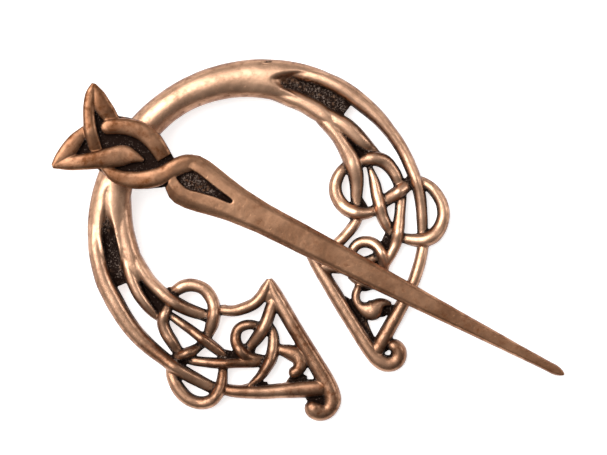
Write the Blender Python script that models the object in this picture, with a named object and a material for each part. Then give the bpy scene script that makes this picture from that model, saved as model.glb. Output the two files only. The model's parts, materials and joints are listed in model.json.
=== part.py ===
"""Penannular brooch: an open hoop with two interlaced ends and a pin that swings on it.

The hoop is drawn in plan with its crown on +Y and the gap between its ends on -Y, and its
flat back lies at z = 0. The pin is drawn with its shaft along -Y and its hinge at z = 0.
At the end both are laid down together, the way the finished brooch rests on a table.
"""

import math

import bmesh
import bpy
import numpy as np
from mathutils import Matrix, Vector

# Hoop, in metres; a foot is the end of the band where it meets the interlace
HOOP_WIDTH = 0.059
HOOP_HEIGHT = 0.056
RING_WIDTH = 0.00545
RING_FOOT_WIDTH = 0.01066
RING_THICKNESS = 0.0040
RING_FOOT_THICKNESS = 0.0029
RAIL_WIDTH = 0.0027
GROOVE_WIDTH = 0.0027
GROOVE_FLOOR = 0.0014
BACK_BEVEL = 0.0009

# How late the band widens on each side, and where its slots begin, in degrees
LEFT_FLARE = 1.8
RIGHT_FLARE = 1.47
LEFT_SLOT_TURN = 169.0
RIGHT_SLOT_TURN = 17.0

# The groove in the band: its share of the quarter turn before it opens and while it does, and
# how much of it is left at the crown
GROOVE_START = 0.38
GROOVE_EASE = 0.27
GROOVE_TRACE = 0.12

# Interlace of the two ends, in metres
STRAND_WIDTH = 0.0018
STRAND_HEIGHT = 0.0022
WEAVE_RISE = 0.0006
STRAND_STEP = 0.0013

# Pin, in metres
PIN_LENGTH = 0.0953
HEAD_WIDTH = 0.0160
SHOULDER_WIDTH = 0.0092
SHAFT_WIDTH = 0.0050
TIP_WIDTH = 0.0018
SHAFT_THICKNESS = 0.0021
TIP_THICKNESS = 0.0014
PLATE_THICKNESS = 0.0009
KNOT_HEIGHT = 0.0011
KNOT_RISE = 0.0003

# Loop at the back of the pin, in metres, and its place on the hoop, in degrees
LOOP_TURN = 114.0
PIN_SKEW = 4.7
LOOP_LENGTH = 0.0055
LOOP_WALL = 0.0009
LOOP_PLAY = 0.0003
REST_GAP = 0.0003
TEARDROP_DEPTH = 0.0010

# Plan units: one fifty-ninth of the hoop's width, and one sixteenth of the pin head's
UNIT = HOOP_WIDTH / 59
PIN_UNIT = HEAD_WIDTH / 16

# Top of the head and shoulder of the shaft over the pivot, and the shaft's place, in pin units
HEAD_TOP = 10.7
SHOULDER_TOP = -11.3
SHAFT_OFFSET = 0.45

# Extra reach of a piece into its neighbour, and of a cutter past what it cuts
SINK = 0.0006
PAST = 0.0010
MERGE = 0.0001

# Fineness of the facets
RING_STATIONS = 34
LOOP_SIDES = 40
CURVE_STEPS = 12

# Levels of a strand at a point of its route: over or under another, or a sunken web
OVER = 1.0
UNDER = -1.0
WEB = -1.8

# Each strand: widths along it in strand widths, then its route as (x, y, level)
LEFT_STRANDS = {
    "outer": (
        (1.5, 1.6, 1.5, 1.4, 1.2),
        ((-26.9, 8, 1), (-27.95, 3, 0.8), (-28.0, -2, 0.6), (-27.8, -5, 0.4), (-27.1, -8, 0.3),
         (-25.9, -12, OVER), (-24.8, -14, 0.2), (-22.9, -18, -0.6), (-21.7, -20.2, UNDER)),
    ),
    "inner rail": (
        (1.3, 2.3, 2.5),
        ((-21.0, 8.4, 0.8), (-21.8, 5.5, 1), (-22.1, 3.2, UNDER)),
    ),
    "inner edge": (
        (1.3, 1.25, 1.15),
        ((-21.0, 4, 1), (-20.4, 0.5, 0.8), (-19.6, -2.2, OVER), (-18.3, -5.4, 0),
         (-16.9, -7.4, -0.5), (-15.2, -9.4, UNDER)),
    ),
    "middle": (
        (1.35, 1.3, 0.8, 0.8, 0.95, 1.0),
        ((-23.0, 4, 0.9), (-23.2, 1, 0.6), (-23.0, -1.6, 0), (-22.3, -3.8, UNDER), (-21.0, -5.6, -0.5),
         (-20.2, -8, 0), (-19.3, -10, 0), (-18.4, -12, OVER), (-17.8, -14, 0), (-17.2, -16.6, UNDER)),
    ),
    "long loop": (
        (0.9, 0.9, 0.95, 1.05, 1.1, 1.1, 1.1, 1.05),
        ((-12.3, -20.6, UNDER), (-14.0, -20.0, 0), (-16.0, -18.9, 0), (-18.3, -17.4, OVER),
         (-20.4, -15.7, 0.4), (-22.3, -13.7, 0), (-23.3, -11.8, UNDER), (-23.7, -9.8, -0.4),
         (-23.9, -7.8, 0), (-23.7, -5.8, 0), (-22.8, -4.2, OVER), (-21.3, -3.4, 0),
         (-19.8, -2.4, UNDER), (-18.3, -1.5, -0.3), (-16.5, -1.6, 0), (-14.7, -2.9, 0),
         (-13.5, -5.2, 0), (-13.6, -7.3, 0), (-14.6, -9.2, OVER), (-16.2, -10.8, 0),
         (-17.7, -11.7, UNDER), (-19.6, -12.0, UNDER)),
    ),
    "link": (
        (0.9, 1.25, 1.15, 0.7),
        ((-18.9, -11.9, UNDER), (-21.3, -11.7, 0.5), (-22.9, -11.5, OVER), (-24.9, -11.3, -0.5)),
    ),
    "outer loop": (
        (0.9, 1.15, 1.2, 1.1, 1.05, 1.0, 0.95),
        ((-25.6, -11.6, UNDER), (-27.0, -13.0, -0.3), (-27.35, -15.4, 0), (-27.1, -18.0, 0),
         (-25.9, -20.0, 0), (-24.1, -20.9, 0.3), (-22.3, -20.6, OVER), (-20.7, -19.6, 0.2),
         (-18.8, -17.2, UNDER)),
    ),
    "upper edge": (
        (0.9, 0.95, 1.0, 1.05, 1.1),
        ((-14.8, -8.4, UNDER), (-13.2, -9.7, 0), (-10.8, -10.8, 0.2), (-8.4, -11.1, 0.2),
         (-6.3, -10.9, 0.2), (-3.9, -9.7, 0.3)),
    ),
    "gap edge": (
        (1.15, 1.25, 1.35, 1.4, 1.35, 1.35, 1.2, 0.8),
        ((-4.3, -9.9, 0.3), (-4.35, -14, 0.3), (-4.7, -18, 0.3), (-5.05, -22, 0.3), (-5.4, -26, 0.3),
         (-5.75, -30, 0.3), (-6.4, -32.5, 0.2), (-8.2, -33.8, 0.1), (-10.0, -33.2, 0),
         (-10.4, -31.6, 0), (-9.7, -30.9, -0.2)),
    ),
    "lower edge": (
        (1.1, 1.2, 1.2, 1.25, 1.3),
        ((-21.8, -19.8, UNDER), (-20.4, -21.3, 0), (-17.5, -23.6, 0.2), (-14.5, -25.4, 0.2),
         (-11.3, -27.3, 0.2), (-8.5, -29.1, 0.2), (-6.4, -30.4, 0.2)),
    ),
    "leaf": (
        (0.35, 0.8, 0.95, 0.95, 0.9),
        ((-17.2, -22.4, -0.6), (-15.5, -22.2, 0), (-13.6, -21.7, 0.5), (-11.8, -20.8, OVER),
         (-9.9, -19.2, 0), (-8.8, -17.7, -0.2), (-8.5, -16.4, UNDER)),
    ),
    "tail": (
        (1.0, 1.05, 1.05, 1.0),
        ((-5.2, -12.0, 0), (-7.2, -14.1, 0.3), (-9.6, -15.9, OVER), (-12.0, -16.7, 0),
         (-14.2, -16.8, UNDER)),
    ),
    "ring loop": (
        (0.9, 0.9, 0.95, 0.95),
        ((-9.2, -16.0, UNDER), (-10.6, -14.3, 0), (-12.4, -13.5, 0), (-14.1, -14.4, 0),
         (-14.75, -16.2, 0.6), (-14.2, -18.0, 0), (-13.0, -19.4, -0.5), (-11.8, -20.4, UNDER)),
    ),
    "hook": (
        (0.65, 0.85, 1.0, 1.15, 1.1, 0.6),
        ((-9.4, -19.9, UNDER), (-8.4, -21.4, 0), (-7.85, -22.9, 0), (-8.3, -24.3, 0),
         (-9.5, -24.6, 0), (-11.0, -24.2, -0.2)),
    ),
    "web by the gap edge": ((0.5, 1.1, 0.7), ((-6.6, -21.4, WEB), (-6.8, -23.8, WEB), (-7.1, -26.0, WEB))),
    "web under the hook": ((0.4, 1.2, 1.0), ((-12.0, -25.1, WEB), (-10.2, -25.5, WEB), (-7.8, -25.8, WEB))),
    "web in the curl": ((1.2, 1.2), ((-9.7, -30.4, WEB), (-8.3, -31.4, WEB), (-8.2, -32.6, WEB))),
    "web of the fork": ((0.6, 1.1), ((-21.9, 2.0, WEB), (-21.6, -5.4, WEB))),
    "web by the leaf": ((0.5, 0.9, 0.4), ((-18.2, -22.3, WEB), (-15.8, -23.3, WEB), (-13.9, -24.3, WEB))),
    "web by the tail": ((0.9, 0.9), ((-12.9, -16.8, WEB), (-13.9, -17.9, WEB))),
    "web by the middle": ((1.0, 1.0), ((-17.9, -15.2, WEB), (-15.4, -17.8, WEB))),
    "web by the upper edge": ((0.8, 0.8), ((-13.5, -8.6, WEB), (-12.3, -9.2, WEB))),
}

RIGHT_STRANDS = {
    "outer": (
        (1.5, 1.5, 1.3, 1.15, 1.15, 1.2, 1.15, 1.1),
        ((26.9, 8, 1), (27.8, 4, 0.8), (28.2, 0, 0.6), (28.1, -4, 0.3), (27.7, -7.5, 0.3),
         (27.0, -10.6, OVER), (26.2, -13, 0.2), (25.1, -15, 0), (23.6, -16.9, -0.6),
         (22.4, -18.6, UNDER)),
    ),
    "inner rail": (
        (1.2, 2.1, 2.4),
        ((20.2, 10.2, 0.8), (21.1, 7.2, 1), (21.5, 4.6, UNDER)),
    ),
    "inner edge": (
        (1.2, 1.2, 1.2, 1.15),
        ((20.3, 5.8, 1), (20.2, 2.5, 0.8), (20.0, 0, 0.7), (19.5, -2.0, OVER), (18.7, -4.4, 0),
         (17.4, -6.4, -0.5), (15.8, -8.6, UNDER)),
    ),
    "middle": (
        (1.4, 1.3, 1.1, 0.8, 0.8, 0.9, 1.0),
        ((22.5, 6, 0.9), (23.2, 3, 0.6), (23.35, 0.5, 0.2), (23.4, -1.2, -0.4), (22.6, -2.9, UNDER),
         (21.6, -4.5, -0.4), (20.8, -6.5, 0), (19.6, -9, 0.3), (18.8, -11.2, OVER), (18.6, -13.6, 0),
         (18.3, -15.8, UNDER)),
    ),
    "long loop": (
        (0.9, 0.9, 0.95, 1.0, 1.0, 1.0, 1.0, 1.0),
        ((12.4, -19.9, UNDER), (15.0, -18.8, 0), (17.2, -17.8, 0), (19.3, -16.2, OVER),
         (21.3, -14.2, 0.3), (22.9, -12.2, 0), (24.0, -10.2, UNDER), (24.7, -8.2, -0.3),
         (25.0, -6.2, 0), (24.8, -4.3, 0), (23.7, -2.7, OVER), (22.0, -1.9, 0.2),
         (20.2, -1.1, UNDER), (18.2, -0.9, -0.3), (16.2, -1.5, 0), (14.7, -3.0, 0),
         (14.1, -5.0, 0), (14.5, -7.1, 0), (15.8, -8.7, OVER), (17.6, -9.4, 0),
         (19.2, -9.9, UNDER), (20.8, -10.1, UNDER)),
    ),
    "link": (
        (0.85, 0.95, 0.95, 0.9),
        ((19.6, -10.1, UNDER), (22.0, -9.9, 0.5), (23.8, -9.5, OVER), (25.2, -9.2, 0), (26.9, -8.9, UNDER)),
    ),
    "outer loop": (
        (1.0, 1.05, 1.05, 1.05, 0.95),
        ((26.9, -9.6, UNDER), (28.1, -11.4, -0.5), (28.7, -13.4, 0), (28.3, -15.9, 0), (27.1, -17.9, 0),
         (25.2, -19.0, 0.3), (23.3, -19.0, OVER), (21.5, -18.4, 0.2), (19.6, -16.6, UNDER)),
    ),
    "upper edge": (
        (0.9, 0.95, 1.0, 1.05, 1.05),
        ((15.6, -8.4, UNDER), (14.6, -9.7, 0), (12.6, -10.6, 0.2), (10.4, -11.0, 0.2), (7.6, -11.1, 0.2),
         (4.4, -9.9, 0.3)),
    ),
    "gap edge": (
        (1.1, 1.15, 1.2, 1.3, 1.35, 1.3, 1.2, 0.8),
        ((4.9, -10.1, 0.3), (4.7, -14, 0.3), (4.3, -18, 0.3), (3.95, -22, 0.3), (3.75, -26, 0.3),
         (3.7, -30, 0.3), (4.15, -32.4, 0.2), (5.8, -33.8, 0.1), (7.5, -33.3, 0), (8.0, -31.9, 0),
         (7.4, -31.1, -0.2)),
    ),
    "lower edge": (
        (1.0, 1.1, 1.15, 1.25, 1.3),
        ((22.9, -18.6, UNDER), (21.4, -20.3, 0), (19, -22.1, 0.2), (16.6, -23.8, 0.2), (13.2, -25.9, 0.2),
         (9.6, -27.6, 0.2), (6.6, -29.1, 0.2), (4.4, -30.2, 0.2)),
    ),
    "leaf": (
        (0.4, 0.85, 0.95, 0.95, 0.9),
        ((15.4, -22.4, -0.6), (13.6, -21.8, 0.3), (11.8, -20.8, OVER), (10.0, -19.4, 0),
         (9.0, -17.9, -0.2), (8.7, -16.6, UNDER)),
    ),
    "tail": (
        (1.0, 1.05, 1.05, 1.0),
        ((5.6, -12.1, 0), (7.5, -14.2, 0.3), (9.9, -15.9, OVER), (12.0, -16.5, 0), (14.2, -16.6, UNDER)),
    ),
    "ring loop": (
        (0.9, 0.95, 0.95, 0.95),
        ((9.4, -16.0, UNDER), (10.4, -14.4, 0), (11.9, -13.3, 0), (13.6, -13.3, 0), (14.7, -14.5, 0),
         (15.0, -16.3, 0.6), (14.5, -18.0, 0), (13.5, -19.3, -0.5), (12.2, -20.4, UNDER)),
    ),
    "hook": (
        (0.6, 0.75, 0.8, 1.0, 1.2, 1.2),
        ((9.2, -18.4, UNDER), (7.6, -19.3, 0), (6.6, -20.4, 0), (6.4, -21.8, 0), (6.9, -23.1, 0),
         (7.6, -23.9, 0)),
    ),
    "boss": (
        (1.2, 1.6, 1.2, 0.5),
        ((6.3, -23.6, 0), (7.9, -23.8, 0.4), (9.6, -23.9, 0), (11.0, -24.9, -0.6)),
    ),
    "web by the gap edge": ((0.5, 1.0, 0.8), ((5.5, -19.9, WEB), (5.5, -23.0, WEB), (5.4, -25.6, WEB))),
    "web under the hook": ((0.9, 1.0, 0.4), ((7.4, -26.3, WEB), (9.6, -25.5, WEB), (11.6, -25.0, WEB))),
    "web by the leaf": ((0.6, 1.0, 0.6), ((8.2, -18.9, WEB), (9.3, -19.6, WEB), (10.4, -20.4, WEB))),
    "web over the curl": ((0.8, 0.9, 0.6), ((5.2, -30.2, WEB), (6.9, -30.3, WEB), (8.3, -30.5, WEB))),
    "web of the fork": ((0.6, 1.1), ((21.3, 4.0, WEB), (21.7, -3.6, WEB))),
    "web by the tail": ((0.9, 0.9), ((12.9, -16.7, WEB), (14.1, -17.9, WEB))),
    "web by the middle": ((1.0, 1.0), ((18.6, -15.0, WEB), (16.2, -17.2, WEB))),
    "web by the upper edge": ((0.8, 0.8), ((15.0, -8.8, WEB), (14.0, -9.3, WEB))),
}

# Knot on the pin's head: widths along a strand in plan units, then (x, y, level) from the pivot
KNOT_STRANDS = {
    "blade": (
        (0.5, 1.9, 2.6, 2.9, 3.2, 3.7, 3.0, 0.4),
        ((-8.2, 10.2, 0.2), (-6.6, 8.2, 0.4), (-5.1, 6.0, OVER), (-3.7, 4.0, OVER), (-2.2, 2.0, 0.6),
         (-0.8, 0.1, 0), (-0.3, -1.5, 0), (-0.1, -3.2, -0.4)),
    ),
    "left point": (
        (0.5, 1.9, 2.0, 1.7, 1.5),
        ((-8.1, 10.2, 0.2), (-6.2, 9.8, 0), (-4.0, 9.4, 0), (-2.0, 8.9, -0.4), (0.0, 8.0, UNDER)),
    ),
    "right point": (
        (0.4, 1.6, 1.8, 2.0, 2.2, 2.2),
        ((7.7, 10.5, 0), (6.0, 10.1, 0.2), (4.0, 9.5, 0.3), (2.0, 8.6, 0.3), (0.2, 7.5, OVER),
         (-1.2, 6.1, 0), (-2.5, 4.7, UNDER)),
    ),
    "right limb": (
        (0.4, 2.3, 2.5, 1.8, 1.4),
        ((7.6, 10.4, 0), (6.2, 9.0, 0), (5.1, 7.4, -0.3), (4.5, 6.0, -0.8), (4.0, 4.6, UNDER)),
    ),
    "right bow": (
        (1.7, 2.2, 2.5, 2.8, 2.9, 2.7, 2.3),
        ((1.7, 6.6, -0.7), (3.0, 4.4, 0.2), (3.7, 2.4, 0.5), (4.1, 0.2, 0.4), (4.0, -2.0, 0.2),
         (3.4, -4.1, 0), (2.3, -6.1, UNDER)),
    ),
    "left bow": (
        (0.5, 1.5, 2.2, 2.5, 2.7, 2.8, 2.9, 3.0, 3.0),
        ((-4.6, 2.5, -0.5), (-4.6, 0.2, 0), (-4.2, -1.8, 0.2), (-3.4, -3.8, 0.4), (-2.2, -5.8, OVER),
         (-0.7, -7.3, OVER), (1.2, -8.4, OVER), (2.8, -9.8, 0.6), (3.6, -11.6, 0)),
    ),
}

# Outline of the plate under the knot, in plan units from the pivot
PLATE_OUTLINE = (
    (-8.0, 10.0), (-5.0, 3.3), (-5.5, 1.2), (-5.65, -0.8), (-5.4, -2.8), (-4.3, -5.8), (-2.7, -8.2),
    (-1.6, -9.4), (1.4, -9.4), (2.9, -7.2), (4.1, -5.5), (5.1, -3.8), (5.65, -1.8), (5.75, 0.2),
    (5.3, 2.4), (4.7, 4.2), (7.2, 10.0), (3.4, 9.4), (-0.3, 8.2), (-3.4, 9.4),
)

# Shaft: (share of its length from the shoulder, share of the way to the next named width)
FLARE_SHARES = ((-0.036, 0.30), (-0.018, 0.80), (0.0, 1.0), (0.027, 0.98), (0.055, 0.81),
                (0.09, 0.54), (0.13, 0.30), (0.20, 0.07), (0.30, 0.0))
TAPER_SHARES = ((0.47, 0.22), (0.60, 0.42), (0.75, 0.69), (0.88, 0.91), (0.95, 1.0))
TIP_SHARES = ((0.984, 0.75), (1.0, 0.30))

# Sunken teardrop in the root of the shaft, in pin units from the pivot
TEARDROP_OUTLINE = ((-0.1, -9.7), (1.8, -10.5), (2.0, -11.9), (1.6, -14.8), (0.9, -18.8), (0.5, -20.3),
                    (-0.1, -18.3), (-0.7, -14.8), (-1.2, -12.1), (-0.7, -10.6))


def clear_scene():
    """Remove the objects that the scene starts with."""
    for old in list(bpy.data.objects):
        bpy.data.objects.remove(old, do_unlink=True)


def new_collection(name):
    """A collection linked to the scene."""
    collection = bpy.data.collections.new(name)
    bpy.context.scene.collection.children.link(collection)
    return collection


def copper(name, colour, roughness):
    """Aged copper, as a plain metal."""
    material = bpy.data.materials.new(name)
    material.use_nodes = True
    shader = material.node_tree.nodes["Principled BSDF"]
    shader.inputs["Base Color"].default_value = (*colour, 1.0)
    shader.inputs["Metallic"].default_value = 1.0
    shader.inputs["Roughness"].default_value = roughness
    return material


def add_object(name, mesh, collection, cutter=False):
    """Link a mesh to a collection; a cutter is shown as wires and isn't rendered."""
    new = bpy.data.objects.new(name, mesh)
    collection.objects.link(new)
    if cutter:
        new.hide_render = True
        new.display_type = "WIRE"
    return new


def smooth_route(points, step):
    """Points at even steps on the Catmull-Rom curve through the given ones."""
    ends = (2 * points[0] - points[1], 2 * points[-1] - points[-2])
    knots = np.vstack((ends[0], points, ends[1]))
    share = np.linspace(0, 1, CURVE_STEPS, endpoint=False)[:, None]
    pieces = []
    for before, start, end, after in zip(knots, knots[1:], knots[2:], knots[3:]):
        pieces.append(0.5 * (2 * start + (end - before) * share
                             + (2 * before - 5 * start + 4 * end - after) * share ** 2
                             + (3 * start - before - 3 * end + after) * share ** 3))
    fine = np.vstack(pieces + [points[-1:]])
    lengths = np.linalg.norm(np.diff(fine[:, :2], axis=0), axis=1)
    run = np.concatenate(((0.0,), np.cumsum(lengths)))
    count = max(3, math.ceil(run[-1] / step) + 1)
    stops = np.linspace(0, run[-1], count)
    return np.stack([np.interp(stops, run, fine[:, axis]) for axis in range(fine.shape[1])], axis=1)


def loft(name, sections):
    """A closed mesh through sections of equal point count, with a face on each end."""
    count, sides = sections.shape[:2]
    rows = np.arange(count - 1)[:, None] * sides
    near = np.arange(sides)[None, :]
    far = (near + 1) % sides
    quads = np.stack((rows + near, rows + far, rows + far + sides, rows + near + sides), axis=2)
    faces = quads.reshape(-1, 4).tolist()
    faces.append(list(range(sides)))
    faces.append([(count - 1) * sides + side for side in range(sides)])
    mesh = bpy.data.meshes.new(name)
    mesh.from_pydata(sections.reshape(-1, 3).tolist(), [], faces)
    shape = bmesh.new()
    shape.from_mesh(mesh)
    bmesh.ops.recalc_face_normals(shape, faces=shape.faces)
    shape.to_mesh(mesh)
    shape.free()
    return mesh


def strand_path(route, unit):
    """Even points along a strand's route, as metres in plan with the level beside them."""
    points = np.array(route, dtype=float)
    points[:, :2] *= unit
    return smooth_route(points, STRAND_STEP)


def strand_mesh(name, path, widths, base, crest, floor):
    """A bevelled bar along a plan path, from a floor up to a crest that rises and dips."""
    plan = path[:, :2]
    along = np.gradient(plan, axis=0)
    along /= np.linalg.norm(along, axis=1)[:, None]
    across = np.stack((-along[:, 1], along[:, 0]), axis=1)
    share = np.linspace(0, 1, len(path))
    width = np.interp(share, np.linspace(0, 1, len(widths)), widths)
    profile = ((-0.5, None), (-0.5, 0.5), (-0.22, 1.0), (0.22, 1.0), (0.5, 0.5), (0.5, None))
    sections = np.empty((len(path), len(profile), 3))
    for corner, (side, up) in enumerate(profile):
        sections[:, corner, :2] = plan + across * (side * width)[:, None]
        sections[:, corner, 2] = floor if up is None else base + crest * up
    return loft(name, sections)


def oval(turn):
    """Point and outward normal of the hoop's outline at a parameter angle."""
    half_width = HOOP_WIDTH / 2
    half_height = HOOP_HEIGHT / 2
    point = np.array((half_width * math.cos(turn), half_height * math.sin(turn)))
    normal = np.array((half_height * math.cos(turn), half_width * math.sin(turn)))
    return point, normal / np.linalg.norm(normal)


def ring_share(turn):
    """Distance from the crown: 0 there, 1 a quarter of the way round."""
    return abs(turn - math.pi / 2) / (math.pi / 2)


def ring_width(turn):
    """Width of the band at a parameter angle."""
    flare = LEFT_FLARE if turn > math.pi / 2 else RIGHT_FLARE
    return RING_WIDTH + (RING_FOOT_WIDTH - RING_WIDTH) * ring_share(turn) ** flare


def ring_crest(turn):
    """Height of the band's back to its crest at a parameter angle."""
    return RING_THICKNESS + (RING_FOOT_THICKNESS - RING_THICKNESS) * ring_share(turn)


def ease(share):
    """Smooth step from 0 to 1."""
    share = min(max(share, 0.0), 1.0)
    return share * share * (3 - 2 * share)


def ring_section(turn):
    """Section of the band: two rounded rails with a groove that opens away from the crown."""
    point, normal = oval(turn)
    width = ring_width(turn)
    crest = ring_crest(turn)
    opening = ease((ring_share(turn) - GROOVE_START) / GROOVE_EASE)
    groove = max(GROOVE_TRACE, opening) * GROOVE_WIDTH
    outer = min(RAIL_WIDTH, 0.5 * width)
    inner = width - outer - groove
    floor = crest + (GROOVE_FLOOR - crest) * opening
    shoulder = crest * (0.94 + 0.04 * opening)
    foot = BACK_BEVEL + SINK
    profile = ((foot, -SINK), (0, BACK_BEVEL), (0, 0.45 * crest), (0.22 * inner, 0.80 * crest),
               (0.60 * inner, shoulder), (inner, floor), (inner + groove, floor),
               (width - 0.60 * outer, shoulder), (width - 0.22 * outer, 0.80 * crest),
               (width, 0.45 * crest), (width, BACK_BEVEL), (width - foot, -SINK))
    start = point - normal * width
    return [(*(start + normal * out), up) for out, up in profile]


def ring_mesh():
    """The band of the hoop, from the slot on its right round the crown to the one on its left."""
    turns = np.radians(np.linspace(RIGHT_SLOT_TURN, LEFT_SLOT_TURN, RING_STATIONS))
    return loft("ring", np.array([ring_section(turn) for turn in turns]))


def box_mesh(name, low, high):
    """A box between two corners."""
    mesh = bpy.data.meshes.new(name)
    shape = bmesh.new()
    bmesh.ops.create_cube(shape, size=1.0)
    low = Vector(low)
    high = Vector(high)
    bmesh.ops.scale(shape, vec=high - low, verts=shape.verts)
    bmesh.ops.translate(shape, vec=(high + low) / 2, verts=shape.verts)
    shape.to_mesh(mesh)
    shape.free()
    return mesh


def cylinder_mesh(name, radius, length):
    """A closed cylinder along X, centred on the origin."""
    mesh = bpy.data.meshes.new(name)
    shape = bmesh.new()
    bmesh.ops.create_cone(shape, cap_ends=True, segments=LOOP_SIDES, radius1=radius, radius2=radius,
                          depth=length, matrix=Matrix.Rotation(math.pi / 2, 4, "Y"))
    shape.to_mesh(mesh)
    shape.free()
    return mesh


def prism(name, outline, unit, low, high, collection):
    """A flat outline carried straight up from one height to another, as a mesh object."""
    curve = bpy.data.curves.new(name, "CURVE")
    curve.dimensions = "2D"
    curve.fill_mode = "BOTH"
    curve.extrude = (high - low) / 2
    spline = curve.splines.new("POLY")
    spline.points.add(len(outline) - 1)
    for point, (x, y) in zip(spline.points, outline):
        point.co = (x * unit, y * unit, 0, 1)
    spline.use_cyclic_u = True
    drawn = bpy.data.objects.new(name + " outline", curve)
    drawn.location.z = (low + high) / 2
    collection.objects.link(drawn)
    depsgraph = bpy.context.evaluated_depsgraph_get()
    mesh = bpy.data.meshes.new_from_object(drawn.evaluated_get(depsgraph))
    mesh.name = name
    shape = bmesh.new()
    shape.from_mesh(mesh)
    bmesh.ops.remove_doubles(shape, verts=shape.verts, dist=MERGE)
    bmesh.ops.recalc_face_normals(shape, faces=shape.faces)
    shape.to_mesh(mesh)
    shape.free()
    solid = add_object(name, mesh, collection, cutter=True)
    solid.matrix_world = drawn.matrix_world.copy()
    bpy.data.objects.remove(drawn, do_unlink=True)
    return solid


def join_and_cut(target, joined, cutters):
    """Boolean modifiers that add a collection of solids to an object and take others away.

    The solids hang on the object, so that they stay in place when it is laid down.
    """
    for solid in [*joined.objects, *cutters]:
        solid.parent = target
    union = target.modifiers.new("joined", "BOOLEAN")
    union.operation = "UNION"
    union.operand_type = "COLLECTION"
    union.collection = joined
    union.solver = "EXACT"
    for cutter in cutters:
        cut = target.modifiers.new("cut by " + cutter.name, "BOOLEAN")
        cut.operation = "DIFFERENCE"
        cut.object = cutter
        cut.solver = "EXACT"


def make_hoop(parts, cutters):
    """The hoop: band and interlace in one piece, cut flat at the back."""
    strands = new_collection("hoop strands")
    for side, drawn in (("left", LEFT_STRANDS), ("right", RIGHT_STRANDS)):
        for number, (name, (widths, route)) in enumerate(drawn.items()):
            path = strand_path(route, UNIT)
            floor = -SINK * (1 + number / len(drawn))
            mesh = strand_mesh(f"{side} {name}", path, np.array(widths) * STRAND_WIDTH, 0,
                               STRAND_HEIGHT + path[:, 2] * WEAVE_RISE, floor)
            add_object(mesh.name, mesh, strands, cutter=True)
    hoop = add_object("hoop", ring_mesh(), parts)
    reach = HOOP_WIDTH
    back = add_object("hoop back", box_mesh("hoop back", (-reach, -reach, -reach), (reach, reach, 0)),
                      cutters, cutter=True)
    join_and_cut(hoop, strands, [back])
    return hoop


def loop_pivot():
    """Middle of the ring's section where the loop sits, and the direction away from the centre."""
    turn = math.radians(LOOP_TURN)
    point, normal = oval(turn)
    middle = point - normal * ring_width(turn) / 2
    return Vector((*middle, ring_crest(turn) / 2)), math.atan2(normal[1], normal[0])


def loop_radius():
    """Bore of the loop: the play past the ring's farthest corner from the hinge's line."""
    pivot, outward = loop_pivot()
    line = Vector((-math.sin(outward), math.cos(outward), 0))
    reach = LOOP_LENGTH / (HOOP_HEIGHT - 2 * RING_WIDTH)
    turns = math.radians(LOOP_TURN) + reach * np.linspace(-1, 1, 5)
    corners = [Vector(corner) - pivot for turn in turns for corner in ring_section(turn)]
    return max((corner - corner.project(line)).length for corner in corners) + LOOP_PLAY


def pin_underside():
    """Height of the pin's flat underside over the hinge: a quarter up the loop's wall."""
    return loop_radius() + LOOP_WALL / 4


def rest_slope():
    """Angle at which the shaft comes down to rest over the strands of the right end."""
    pivot, outward = loop_pivot()
    heading = outward + math.radians(PIN_SKEW)
    up = np.array((math.cos(heading), math.sin(heading)))
    side = np.array((up[1], -up[0]))
    corridor = (SHAFT_WIDTH + 1.5 * STRAND_WIDTH) / 2
    slopes = []
    for widths, route in RIGHT_STRANDS.values():
        path = strand_path(route, UNIT)
        offset = path[:, :2] - np.array(pivot.xy)
        below = -offset @ up
        crossing = (np.abs(offset @ side - SHAFT_OFFSET * PIN_UNIT) < corridor) & (below > 0)
        crest = STRAND_HEIGHT + path[crossing, 2] * WEAVE_RISE
        drop = pivot.z + pin_underside() - crest - REST_GAP
        slopes.extend(drop / (below[crossing] + max(widths) * STRAND_WIDTH / 2))
    return math.asin(min(slopes))


def shaft_mesh(low):
    """The shaft: wide at the shoulder, flat on top with bevelled edges, and tapering to its tip."""
    start = SHOULDER_TOP * PIN_UNIT
    length = PIN_LENGTH - HEAD_TOP * PIN_UNIT + start
    stations = [(share, SHAFT_WIDTH + (SHOULDER_WIDTH - SHAFT_WIDTH) * flare)
                for share, flare in FLARE_SHARES]
    stations += [(share, SHAFT_WIDTH + (TIP_WIDTH - SHAFT_WIDTH) * taper)
                 for share, taper in TAPER_SHARES]
    stations += [(share, TIP_WIDTH * rounding) for share, rounding in TIP_SHARES]
    profile = ((-0.42, 0), (-0.5, 0.25), (-0.5, 0.6), (-0.32, 1), (0.32, 1), (0.5, 0.6), (0.5, 0.25),
               (0.42, 0))
    sections = []
    for share, width in stations:
        thick = SHAFT_THICKNESS + (TIP_THICKNESS - SHAFT_THICKNESS) * max(share, 0.0)
        x = SHAFT_OFFSET * PIN_UNIT
        y = start - share * length
        sections.append([(x + side * width, y, low + up * thick) for side, up in profile])
    return loft("shaft", np.array(sections))


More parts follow.
